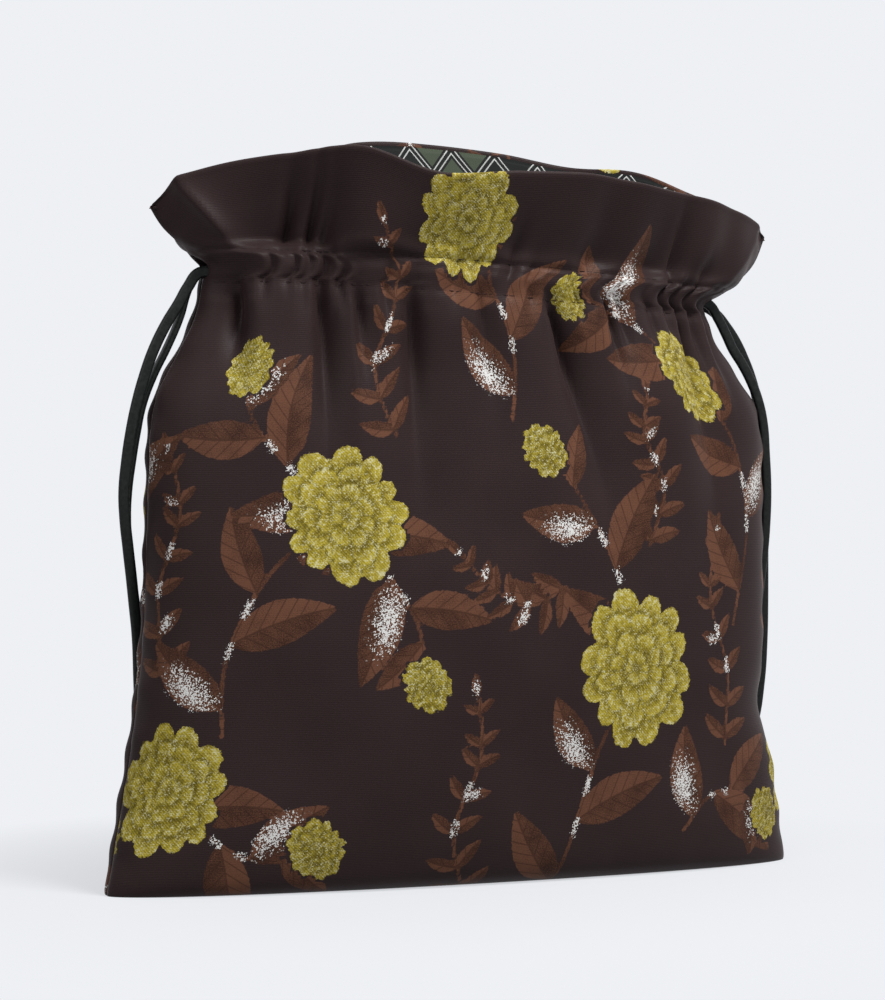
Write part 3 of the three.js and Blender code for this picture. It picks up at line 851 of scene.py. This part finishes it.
# %% [markdown]
# ## The woven pattern
# A jacquard loom lifts its threads one by one, so a motif is a field of one colour with a sharp edge. An
# image could hold it, but a formula stays sharp at any size: each motif gives its distance from the edge,
# in mm, positive inside. The distances are kept on the vertices and cut at zero in the material, which
# gives a clean edge between vertices too. The motifs are dahlias with rings of petals, pointed leaves
# with veins on curved stems, and fern fronds, laid out as a repeat that goes on past the panel.

# %% Layout of one repeat
REPEAT_WIDTH, REPEAT_LENGTH = 248, 262
# Place across and up the cloth, radius and turn of each dahlia
DAHLIAS = [
    (-58, 150, 22, 0.3), (52, 98, 25, 1.1), (84, 200, 16, 0.7), (-18, 250, 20, 1.6), (-112, 60, 20, 2.0),
    (14, 172, 9, 0.1), (-28, 94, 9, 0.4), (112, 44, 9, 1.3), (-62, 40, 10, 0.5), (34, 226, 8, 1.0),
    (-96, 198, 9, 0.9),
]
STEMS = [
    [(-96, 78), (-96, 104), (-82, 132), (-58, 150)], [(20, 12), (28, 42), (38, 72), (52, 98)],
    [(98, 112), (106, 146), (100, 176), (84, 200)], [(2, 182), (4, 206), (-4, 230), (-18, 250)],
    [(52, 98), (44, 128), (30, 154), (14, 172)], [(-58, 150), (-44, 132), (-32, 114), (-28, 94)],
    [(72, 40), (84, 52), (98, 52), (112, 44)], [(-112, 60), (-96, 44), (-78, 36), (-62, 40)],
    [(84, 200), (66, 216), (50, 224), (34, 226)], [(-58, 150), (-76, 164), (-90, 180), (-96, 198)],
]
# Place along a stem, lean from it, length and width of each leaf
STEM_LEAVES = [(0.15, 0.8, 33, 14), (0.4, -0.9, 37, 15), (0.62, 0.9, 30, 13), (0.8, -1.0, 22, 10)]
FRONDS = [
    [(-8, 18), (-16, 44), (-8, 70), (-10, 92)], [(92, 70), (94, 96), (86, 122), (90, 146)],
    [(-40, 176), (-50, 200), (-44, 224), (-50, 246)], [(22, 126), (8, 120), (-6, 126), (-18, 138)],
    [(-116, 96), (-122, 124), (-114, 150), (-120, 172)], [(56, 140), (62, 160), (54, 178), (58, 194)],
]
FROND_PAIRS, LEAFLET_LENGTH, LEAFLET_WIDTH, LEAFLET_LEAN = 7, 14, 5.6, 0.95
# Size of the leaflet at a frond's tip, and how much smaller the pairs get towards it
TIP_LEAFLET, FROND_TAPER = 0.6, 0.5
# Distances where no motif is near: outside of its edge, and off its lines
OUTSIDE, OFF_LINE = -50.0, 5.0
print("dahlias:", len(DAHLIAS), "stems:", len(STEMS), "fronds:", len(FRONDS))

# %% Distances of the motifs
LEAF_BEND = 0.18
STEM_STEPS = 22


def filled(shape, *values):
    """New fields of that shape, each filled with one value."""
    return [np.full(shape, value) for value in values]


def from_place(across, run, place):
    """Offsets from a motif's place, the short way round the repeat."""
    sideways = (across - place[0] + REPEAT_WIDTH / 2) % REPEAT_WIDTH - REPEAT_WIDTH / 2
    upwards = (run - place[1] + REPEAT_LENGTH / 2) % REPEAT_LENGTH - REPEAT_LENGTH / 2
    return sideways, upwards


def leaf_distance(across, run, root, heading, length, width):
    """Distance inside a pointed leaf, with the distances along it and across from its midrib."""
    sideways, upwards = from_place(across, run, root)
    along = sideways * math.cos(heading) + upwards * math.sin(heading)
    offset = upwards * math.cos(heading) - sideways * math.sin(heading)
    share = np.clip(along / length, 0, 1)
    offset = offset - LEAF_BEND * length * share * (1 - share)
    half_width = width / 2 * np.sin(np.pi * share**0.8) ** 0.85
    return np.minimum(half_width - np.abs(offset), np.minimum(along, length - along)), along, offset


# Share of the radius, number of petals and depth of the notches of each ring, from the outside in
PETAL_RINGS = [(1, 12, 0.2), (0.74, 10, 0.2), (0.48, 8, 0.22), (0.22, 6, 0.2)]


def dahlia_distances(across, run, place, radius, turn):
    """Distance inside a dahlia, from its petals' tips and sides, and the shade and streak of a petal."""
    sideways, upwards = from_place(across, run, place)
    heading = np.arctan2(upwards, sideways) - turn
    uneven = 1 + 0.09 * np.sin(2 * heading + 3 * turn) + 0.05 * np.sin(5 * heading)
    reach = np.hypot(sideways, upwards) * uneven
    tips, sides, shade = filled(across.shape, OUTSIDE, OFF_LINE, 0.0)
    for ring, (share, petals, notch) in enumerate(PETAL_RINGS):
        swing = np.sin(petals / 2 * (heading + 0.5 * ring) + 0.5 * np.sin(2 * heading + ring))
        edge = radius * share * (1 - notch * (1 - np.abs(swing)) ** 1.6)
        if ring == 0:
            inside = edge - reach
        else:
            within = reach < outer_edge
            shade = np.where(within, (reach - edge) / (outer_edge - edge), shade)
            tips = np.where(within, (-1) ** ring * np.minimum(outer_edge - reach, reach - edge), tips)
        sides = np.where(reach < edge, reach * 2 / petals * swing, sides)
        outer_edge = edge
    shade = np.where(reach < outer_edge, reach / outer_edge, shade)
    tips = np.where(reach < outer_edge, outer_edge - reach, tips)
    streak = np.stack([np.cos(heading), np.sin(heading), reach / 60 + shade / 4 + turn], axis=-1)
    return inside, tips, sides, np.clip(shade, 0, 1), streak


def stem_points(stem):
    """Close points along a stem."""
    return smooth_line(stem, np.linspace(0, len(stem) - 1, STEM_STEPS))


def line_distance(across, run, points):
    """Distance from a line of points, and how far along it the nearest part lies."""
    nearest, share = filled(across.shape, 1e3, 0.0)
    for step, (here, there) in enumerate(zip(points, points[1:])):
        sideways, upwards = from_place(across, run, here)
        dx, dy = there - here
        t = np.clip((sideways * dx + upwards * dy) / (dx * dx + dy * dy), 0, 1)
        distance = np.hypot(sideways - t * dx, upwards - t * dy)
        share = np.where(distance < nearest, (step + t) / (len(points) - 1), share)
        nearest = np.minimum(distance, nearest)
    return nearest, share


first_stem = line_distance(np.zeros(1), np.zeros(1), stem_points(STEMS[0]))[0]
print("from the middle of the base to the first stem:", first_stem.round(1), "mm")

# %% Leaves and fronds of the repeat
def leaves_on(points, places):
    """Root, heading, length and width of leaves along a stem."""
    for share, lean, length, width in places:
        spot = int(share * (len(points) - 2))
        ahead = points[spot + 1] - points[spot]
        yield points[spot], math.atan2(ahead[1], ahead[0]) + lean, length, width


def frond_places():
    """Leaflets in pairs that grow shorter towards the frond's tip, and one at the tip."""
    for pair in range(FROND_PAIRS):
        share = (pair + 0.6) / FROND_PAIRS
        size = 1 - FROND_TAPER * share
        for lean in (LEAFLET_LEAN, -LEAFLET_LEAN):
            yield share, lean, LEAFLET_LENGTH * size, LEAFLET_WIDTH * size
    yield 1, 0, LEAFLET_LENGTH * TIP_LEAFLET, LEAFLET_WIDTH * TIP_LEAFLET


all_leaves = [leaf for stem in STEMS for leaf in leaves_on(stem_points(stem), STEM_LEAVES)]
all_leaflets = [leaf for frond in FRONDS for leaf in leaves_on(stem_points(frond), frond_places())]
print("leaves:", len(all_leaves), "leaflets:", len(all_leaflets))

# %% Fields of the pattern
STEM_HALF_WIDTH = 0.7
# One leaf in three, and one leaflet in seven, has silver threads on one side of its midrib
SILVER_LEAF, SILVER_LEAFLET = 3, 7
# Share of silver threads where they are densest
LEAF_SILVER, STEM_SILVER = 0.8, 0.85


def pattern_fields(across, run):
    """Edge distances in mm, shades and places of the pattern at flat places of the cloth."""
    leaf, along, midrib, silver = filled(across.shape, OUTSIDE, 0.0, OFF_LINE, 0.0)
    for number, (root, heading, length, width) in enumerate(all_leaflets + all_leaves):
        inside, leaf_along, offset = leaf_distance(across, run, root, heading, length, width)
        over = (inside > 0) | (inside > leaf)
        leaf, along, midrib = (np.where(over, new, old) for new, old in (
            (inside, leaf), (leaf_along, along), (offset, midrib)))
        lit = number % (SILVER_LEAF if length > LEAFLET_LENGTH else SILVER_LEAFLET) == 0
        glint = bell(leaf_along - 0.36 * length, 0.26 * length) * bell(offset - 0.12 * width, 0.3 * width)
        silver = np.where(inside > -0.6, lit * LEAF_SILVER * glint, silver)
    for stem in STEMS + FRONDS:
        distance, share = line_distance(across, run, stem_points(stem))
        leaf = np.maximum(leaf, STEM_HALF_WIDTH - distance)
        dashes = fade(np.sin(share * 40), -0.2, 0.6) * fade(np.sin(share * 9 + len(stem)), -0.1, 0.5)
        silver = np.maximum(silver, STEM_SILVER * dashes * bell(distance, 0.9))
    bloom, tips, sides, shade = filled(across.shape, OUTSIDE, OFF_LINE, OFF_LINE, 0.0)
    streak = np.zeros((*across.shape, 3))
    for x, y, radius, turn in DAHLIAS:
        *flat_fields, petal_streak = dahlia_distances(across, run, (x, y), radius, turn)
        inside = flat_fields[0]
        near = inside > np.maximum(bloom, -3)
        bloom, tips, sides, shade = (
            np.where(near, new, old) for new, old in zip(flat_fields, (bloom, tips, sides, shade)))
        streak = np.where(near[..., None], petal_streak, streak)
        leaf = np.where(inside > -1.2, -2, leaf)
        silver = np.where(inside > -1, 0, silver)
    return {
        "bloom_edge": bloom, "petal_tips": tips, "petal_sides": sides, "petal_shade": shade,
        "petal_streak": streak, "leaf_edge": leaf, "leaf_along": along, "leaf_midrib": midrib,
        "silver": silver}


PATTERN_SHIFT = {"front": (0, 0), "back": (118, 96)}
for name, (shift_across, shift_run) in PATTERN_SHIFT.items():
    _, across, run, row, column = panel_grids[name]
    fields = pattern_fields(across - FLAT_WIDTH / 2 + shift_across, run + shift_run)
    for field, values in fields.items():
        kind, key = ("FLOAT_VECTOR", "vector") if values.ndim == 3 else ("FLOAT", "value")
        attribute = outer_panels[name].data.attributes.new(field, kind, "POINT")
        attribute.data.foreach_set(key, values[row, column].astype(np.float32).ravel())
    cover = {field: round(float((fields[field] > 0).mean()), 3) for field in ("bloom_edge", "leaf_edge")}
    print(name, "share of the cloth:", cover, "silver", round(float(fields["silver"].mean()), 3))

# %% [markdown]
# ## Materials from nodes
# A material is a small net of nodes. A recipe adds one node at a time and joins its sockets, so that each
# finish below reads as a list of steps: what the threads are, how they mix, and how they catch the light.
# The cloths read their flat cut, so their threads bend with every fold.

# %% Recipes of nodes
class Recipe:
    """A net of shader nodes, where each step adds a node and gives back its output."""

    def __init__(self, tree):
        self.tree = tree
        self.place = None

    def feed(self, node, inputs):
        """Sets inputs of a node, each to a value or to another node's output."""
        for socket, value in inputs.items():
            if isinstance(value, bpy.types.NodeSocket):
                self.tree.links.new(value, node.inputs[socket])
            else:
                node.inputs[socket].default_value = value

    def node(self, kind, inputs=None, **settings):
        """The outputs of a new node."""
        made = self.tree.nodes.new("ShaderNode" + kind)
        for name, value in settings.items():
            setattr(made, name, value)
        self.feed(made, inputs or {})
        return made.outputs

    def math(self, operation, *values):
        return self.node("Math", dict(enumerate(values)), operation=operation)[0]

    def plus(self, rest, value, share=1.0):
        """The rest and a share of a value."""
        return self.math("MULTIPLY_ADD", value, share, rest)

    def times(self, first, second):
        return self.math("MULTIPLY", first, second)

    def most(self, first, second):
        return self.math("MAXIMUM", first, second)

    def ramp(self, value, low, high):
        """0 where a value is below low, 1 above high, and even between."""
        return self.node("MapRange", {"Value": value, "From Min": low, "From Max": high})["Result"]

    def tint(self, share, low, high):
        """A colour between two others, by a share from 0 to 1."""
        return self.node("Mix", {0: share, 6: low, 7: high}, data_type="RGBA")[2]

    def noise(self, scale, detail, place=None):
        inputs = {"Vector": self.place if place is None else place, "Scale": scale, "Detail": detail}
        return self.node("TexNoise", inputs)["Fac"]

    def bump(self, height, strength, distance):
        inputs = {"Height": height, "Strength": strength, "Distance": distance}
        return self.node("Bump", inputs)["Normal"]


class ClothRecipe(Recipe):
    """A recipe that reads the flat cut and the fields stored on it."""

    def __init__(self, tree):
        super().__init__(tree)
        self.place = self.node("UVMap", uv_map="flat_cut")["UV"]

    def stored(self, name, output="Fac"):
        return self.node("Attribute", attribute_name=name)[output]

    def near_line(self, name, half_width):
        """1 along the line where a stored signed distance is zero."""
        return self.ramp(self.math("ABSOLUTE", self.stored(name)), half_width, half_width * 0.4)

    def cells(self, scale):
        """A random number for each small cell of the cloth."""
        colour = self.node("TexVoronoi", {"Vector": self.place, "Scale": scale})["Color"]
        return self.node("SeparateColor", {"Color": colour})["Red"]

    def wave(self, scale, direction):
        inputs = {"Vector": self.place, "Scale": scale, "Distortion": 1.4, "Detail": 2, "Detail Scale": 2}
        return self.node("TexWave", inputs, bands_direction=direction)["Fac"]


def new_material(name, recipe=Recipe):
    """A new material, the recipe of its nodes and its main shader."""
    material = bpy.data.materials.new(name)
    material.use_nodes = True
    return material, recipe(material.node_tree), material.node_tree.nodes["Principled BSDF"]


print("steps of a recipe:", ", ".join(step for step in vars(Recipe) if not step.startswith("_")))

# %% [markdown]
# ## The jacquard
# The ground is a dark plum satin with fine threads. Dahlias are woven of chartreuse weft floats in a fine
# twill, darker towards the heart of each petal, with streaks along the petals and pale flecks. Leaves are
# russet threads mixed with the ground, lighter on one side of the midrib. The silver is a foil thread
# that comes up in single stitches, so it is a cell noise cut by its density.

# %% Jacquard colours and motifs
PLUM_DARK, PLUM_LIGHT = (0.020, 0.0118, 0.0122, 1), (0.042, 0.0262, 0.0262, 1)
RUSSET_DARK, RUSSET = (0.036, 0.016, 0.011, 1), (0.135, 0.059, 0.035, 1)
OLIVE_DARK, OLIVE, CHARTREUSE = (0.075, 0.058, 0.008, 1), (0.24, 0.186, 0.022, 1), (0.49, 0.40, 0.05, 1)
PALE_FLECK, SILVER = (0.58, 0.55, 0.33, 1), (0.70, 0.70, 0.68, 1)
VEIN_SPACING = 2.4


def petals(cloth, flecks, twill):
    """The colour of the dahlias."""
    streaks = cloth.noise(13, 3, cloth.stored("petal_streak", "Vector"))
    shade = cloth.stored("petal_shade")
    light = cloth.plus(cloth.times(streaks, 0.9), shade, 0.5)
    light = cloth.plus(cloth.plus(light, twill, 0.16), cloth.noise(90, 3), 0.5)
    lines = cloth.most(cloth.near_line("petal_tips", 0.9), cloth.near_line("petal_sides", 0.6))
    lines = cloth.times(lines, cloth.ramp(streaks, 0.4, 0.56))
    strokes = cloth.times(cloth.ramp(streaks, 0.52, 0.66), cloth.ramp(shade, 0.3, 0.9))
    pale = cloth.ramp(cloth.plus(strokes, flecks, -1), -0.2, 0.0)
    colour = cloth.tint(cloth.ramp(light, 0.5, 0.95), OLIVE_DARK, OLIVE)
    colour = cloth.tint(cloth.ramp(light, 0.85, 1.35), colour, CHARTREUSE)
    colour = cloth.tint(cloth.times(lines, 0.7), colour, OLIVE_DARK)
    return cloth.tint(cloth.times(pale, 0.8), colour, PALE_FLECK)


def leaves(cloth, grain):
    """The colour of the leaves and stems."""
    midrib = cloth.stored("leaf_midrib")
    slant = cloth.plus(cloth.stored("leaf_along"), cloth.math("ABSOLUTE", midrib), -1)
    side_veins = cloth.ramp(cloth.math("PINGPONG", slant, VEIN_SPACING), 0.45, 0.15)
    veins = cloth.most(cloth.near_line("leaf_midrib", 0.5), side_veins)
    tone = cloth.plus(cloth.times(grain, 0.9), cloth.ramp(midrib, -0.6, 0.6), 0.22)
    tone = cloth.plus(tone, cloth.noise(120, 2), 0.5)
    russet = cloth.tint(cloth.ramp(tone, 0.55, 0.95), RUSSET_DARK, RUSSET)
    return cloth.tint(cloth.times(veins, 0.55), russet, RUSSET_DARK)


print("colours of the dahlias:", OLIVE_DARK[:3], OLIVE[:3], CHARTREUSE[:3])

# %% Jacquard material
TWILL_SCALE, WEAVE_SCALE = 560, 520
FLECK_SCALE, GRAIN_SCALE = 2600, 2400
# How far the threads make an edge ragged, in mm to both sides
RAGGED = 1.3
EDGE_BLUR = 0.15


def jacquard():
    """The woven cloth: the ground, then leaves, dahlias and silver over it."""
    material, cloth, shader = new_material("satin_jacquard", ClothRecipe)
    twill, weave = cloth.wave(TWILL_SCALE, "DIAGONAL"), cloth.wave(WEAVE_SCALE, "Y")
    ragged = cloth.plus(-RAGGED, cloth.noise(700, 4), 2 * RAGGED)
    flecks, grain = cloth.cells(FLECK_SCALE), cloth.noise(GRAIN_SCALE, 2)

    in_bloom = cloth.ramp(cloth.plus(cloth.stored("bloom_edge"), ragged), -EDGE_BLUR, EDGE_BLUR)
    in_leaf = cloth.ramp(cloth.plus(cloth.stored("leaf_edge"), ragged, 0.5), -EDGE_BLUR, EDGE_BLUR)
    in_silver = cloth.ramp(cloth.plus(cloth.stored("silver"), flecks, -1), 0.02, 0.1)

    thread = cloth.plus(cloth.times(weave, 0.3), grain, 0.6)
    # The broad noise lays soft lighter and darker patches into the ground colour: painted sheen of the
    # satin, over the real weave and grain of its threads.
    tone = cloth.plus(thread, cloth.noise(28, 3), 0.5)
    colour = cloth.tint(cloth.ramp(tone, 0.45, 1.05), PLUM_DARK, PLUM_LIGHT)
    colour = cloth.tint(in_leaf, colour, leaves(cloth, grain))
    colour = cloth.tint(in_bloom, colour, petals(cloth, flecks, twill))
    colour = cloth.tint(in_silver, colour, SILVER)
    height = cloth.plus(thread, cloth.times(twill, in_bloom), 0.7)
    height = cloth.plus(cloth.plus(height, in_bloom, 0.6), in_leaf, 0.3)
    cloth.feed(shader, {
        "Base Color": colour, "Roughness": cloth.plus(0.44, in_bloom, 0.14),
        "Normal": cloth.bump(height, 0.3, 0.0002), "Specular IOR Level": 0.06,
        "Sheen Weight": 0.05, "Sheen Roughness": 0.4, "Sheen Tint": (0.8, 0.55, 0.5, 1)})
    return material


jacquard_cloth = jacquard()
for piece in outer_panels.values():
    piece.data.materials.append(jacquard_cloth)
print("jacquard nodes:", len(jacquard_cloth.node_tree.nodes))

# %% [markdown]
# ## Lining, laces and thread
# The lining is printed with a plain diamond trellis: pale lines on black, and some diamonds filled with
# sage or mauve. Two slanting coordinates count the diamonds, their fractions give the lines, and a random
# number for each diamond picks its fill. The laces are dark leather with a fine grain and a soft sheen.

# %% Printed lining
DIAMOND_WIDTH, DIAMOND_HEIGHT = 0.019, 0.023
LINING_BLACK, SAGE, MAUVE = (0.006, 0.0068, 0.0064, 1), (0.052, 0.066, 0.044, 1), (0.17, 0.09, 0.15, 1)
LINE_SILVER = (0.46, 0.47, 0.45, 1)
# Draws from which a diamond is filled, and filled with mauve
FILLED_FROM, MAUVE_FROM = 0.52, 0.84


def trellis():
    """The printed cloth of the lining."""
    material, cloth, shader = new_material("printed_lining", ClothRecipe)
    spot = cloth.node("SeparateXYZ", {"Vector": cloth.place})
    wide = cloth.math("DIVIDE", spot["X"], DIAMOND_WIDTH)
    tall = cloth.math("DIVIDE", spot["Y"], DIAMOND_HEIGHT)
    slants = cloth.plus(wide, tall), cloth.plus(wide, tall, -1)
    counts = (cloth.math("FLOOR", slant) for slant in slants)
    number = cloth.node("CombineXYZ", dict(zip("XY", counts)))[0]
    pick = cloth.node("TexWhiteNoise", {"Vector": number}, noise_dimensions="3D")["Value"]
    inset = cloth.math("MINIMUM", *(cloth.math("PINGPONG", slant, 0.5) for slant in slants))
    fill = cloth.tint(cloth.ramp(pick, MAUVE_FROM, MAUVE_FROM + 0.01), SAGE, MAUVE)
    filled = cloth.ramp(pick, FILLED_FROM, FILLED_FROM + 0.01)
    colour = cloth.tint(cloth.times(filled, cloth.ramp(inset, 0.15, 0.16)), LINING_BLACK, fill)
    line = cloth.times(cloth.ramp(inset, 0.045, 0.055), cloth.ramp(inset, 0.088, 0.078))
    cloth.feed(shader, {
        "Base Color": cloth.tint(line, colour, LINE_SILVER), "Roughness": 0.6,
        "Normal": cloth.bump(cloth.noise(1800, 2), 0.25, 0.0002), "Specular IOR Level": 0.08})
    return material


lining_cloth = trellis()
for piece in lining_panels.values():
    piece.data.materials.append(lining_cloth)
print("lining nodes:", len(lining_cloth.node_tree.nodes))

# %% Lace leather and thread
LEATHER_DARK, LEATHER_LIGHT = (0.006, 0.0068, 0.0066, 1), (0.016, 0.0182, 0.0172, 1)
THREAD_DARK, THREAD_LIGHT = (0.022, 0.0135, 0.0138, 1), (0.040, 0.0252, 0.0254, 1)


def grained(name, dark, light, scale, roughness, shine):
    """A dark finish with a fine grain in its colour and its bump."""
    material, finish, shader = new_material(name)
    grain = finish.noise(scale, 4, finish.node("TexCoord")["Object"])
    finish.feed(shader, {
        "Base Color": finish.tint(finish.ramp(grain, 0.3, 0.7), dark, light), "Roughness": roughness,
        "Normal": finish.bump(grain, 0.3, 0.0003), "Specular IOR Level": shine})
    return material


lace_leather = grained("lace_leather", LEATHER_DARK, LEATHER_LIGHT, 900, 0.4, 0.14)
thread_finish = grained("channel_thread", THREAD_DARK, THREAD_LIGHT, 2500, 0.6, 0.06)
for piece in bpy.context.scene.objects:
    if piece.type == "CURVE":
        piece.data.materials.append(lace_leather)
for piece in channel_stitches.values():
    piece.data.materials.append(thread_finish)
print("finishes:", lace_leather.name, thread_finish.name)

# %% [markdown]
# ## Floor and light
# The photograph has one even pale ground with a faint shadow. A lit floor would show a gradient, so the
# camera sees mostly the ground colour itself, and near the pouch some of the lit floor, which keeps the
# shadow. Light that bounces meets a greyer floor: a pale one would throw so much light up under the
# frill that its shade, which shows how far it stands out, would be lost.

# %% Floor and world
GROUND_COLOUR = (0.855, 0.871, 0.905, 1)
FLOOR_COLOUR = (0.68, 0.69, 0.715, 1)
BOUNCE_COLOUR = (0.36, 0.36, 0.37, 1)
AMBIENT = (0.12, 0.12, 0.126, 1)
FLOOR_REACH = 8.0
# Share of the lit floor that is seen near the pouch, and from where to where it fades, in metres
SHADOW_SHARE = 0.35
SHADOW_FADES = (0.24, 0.1)


def seen_by_eye(recipe):
    """1 for rays from the camera, and for mirror and glass rays, and 0 for the light that bounces."""
    rays = recipe.node("LightPath")
    direct = recipe.most(rays["Is Camera Ray"], rays["Is Transmission Ray"])
    return recipe.most(direct, rays["Is Glossy Ray"])


def studio_floor():
    """A floor that is one even colour to the eye, with the shadow near the pouch."""
    material, ground, shader = new_material("studio_floor")
    ground.tree.nodes.remove(shader)
    place = ground.node("TexCoord")["Object"]
    distance = ground.node("VectorMath", {0: place}, operation="LENGTH")["Value"]
    lit_share = ground.times(ground.ramp(distance, *SHADOW_FADES), SHADOW_SHARE)
    lit = ground.node("BsdfDiffuse", {"Color": FLOOR_COLOUR})[0]
    bounce = ground.node("BsdfDiffuse", {"Color": BOUNCE_COLOUR})[0]
    even = ground.node("Emission", {"Color": GROUND_COLOUR})[0]
    seen = ground.node("MixShader", {0: lit_share, 1: even, 2: lit})[0]
    surface = ground.node("MixShader", {0: seen_by_eye(ground), 1: bounce, 2: seen})[0]
    ground.feed(ground.tree.nodes["Material Output"], {"Surface": surface})
    return material


floor = put("floor", flat_grid("floor", 4, 4, FLOOR_REACH))
floor.data.materials.append(studio_floor())
floor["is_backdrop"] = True

world = bpy.data.worlds.new("studio")
world.use_nodes = True
bpy.context.scene.world = world
sky = Recipe(world.node_tree)
soft_light = sky.tree.nodes["Background"]
sky.feed(soft_light, {"Color": AMBIENT})
backdrop = sky.node("Background", {"Color": GROUND_COLOUR})[0]
both = sky.node("MixShader", {0: seen_by_eye(sky), 1: soft_light.outputs[0], 2: backdrop})[0]
sky.feed(sky.tree.nodes["World Output"], {"Surface": both})
print("floor reaches", FLOOR_REACH, "m")

# %% Lamps
LAMP_TARGET = Vector((0, 0, 0.12))
# Place in metres, side of the square lamp in metres and power in watts
LAMPS = {
    "key_from_the_right": ((0.5, -0.95, 1.55), 0.6, 36.5),
    "fill_from_the_left": ((-1.0, -0.9, 0.9), 0.8, 6),
    "top": ((0.1, 0.3, 1.6), 1.2, 4),
}
for name, (place, side, watts) in LAMPS.items():
    lamp = put(name, bpy.data.lights.new(name, "AREA"))
    lamp.data.size = side
    lamp.data.energy = watts
    lamp.location = place
    lamp.rotation_euler = (LAMP_TARGET - Vector(place)).to_track_quat("-Z", "Y").to_euler()
bpy.context.scene.view_settings.view_transform = "Standard"
print("lamps:", ", ".join(LAMPS))

# %% [markdown] ## Size The looks may stand a little proud of the CAD model,
# so both boxes are printed.
# The looks may stand a little proud of the CAD model, but not change its size.

# %% Sizes
boxes = {"cad": cad_box, "visual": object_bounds()}
for name, box in boxes.items():
    print(name, "box in metres:", [[round(value, 4) for value in corner] for corner in box])
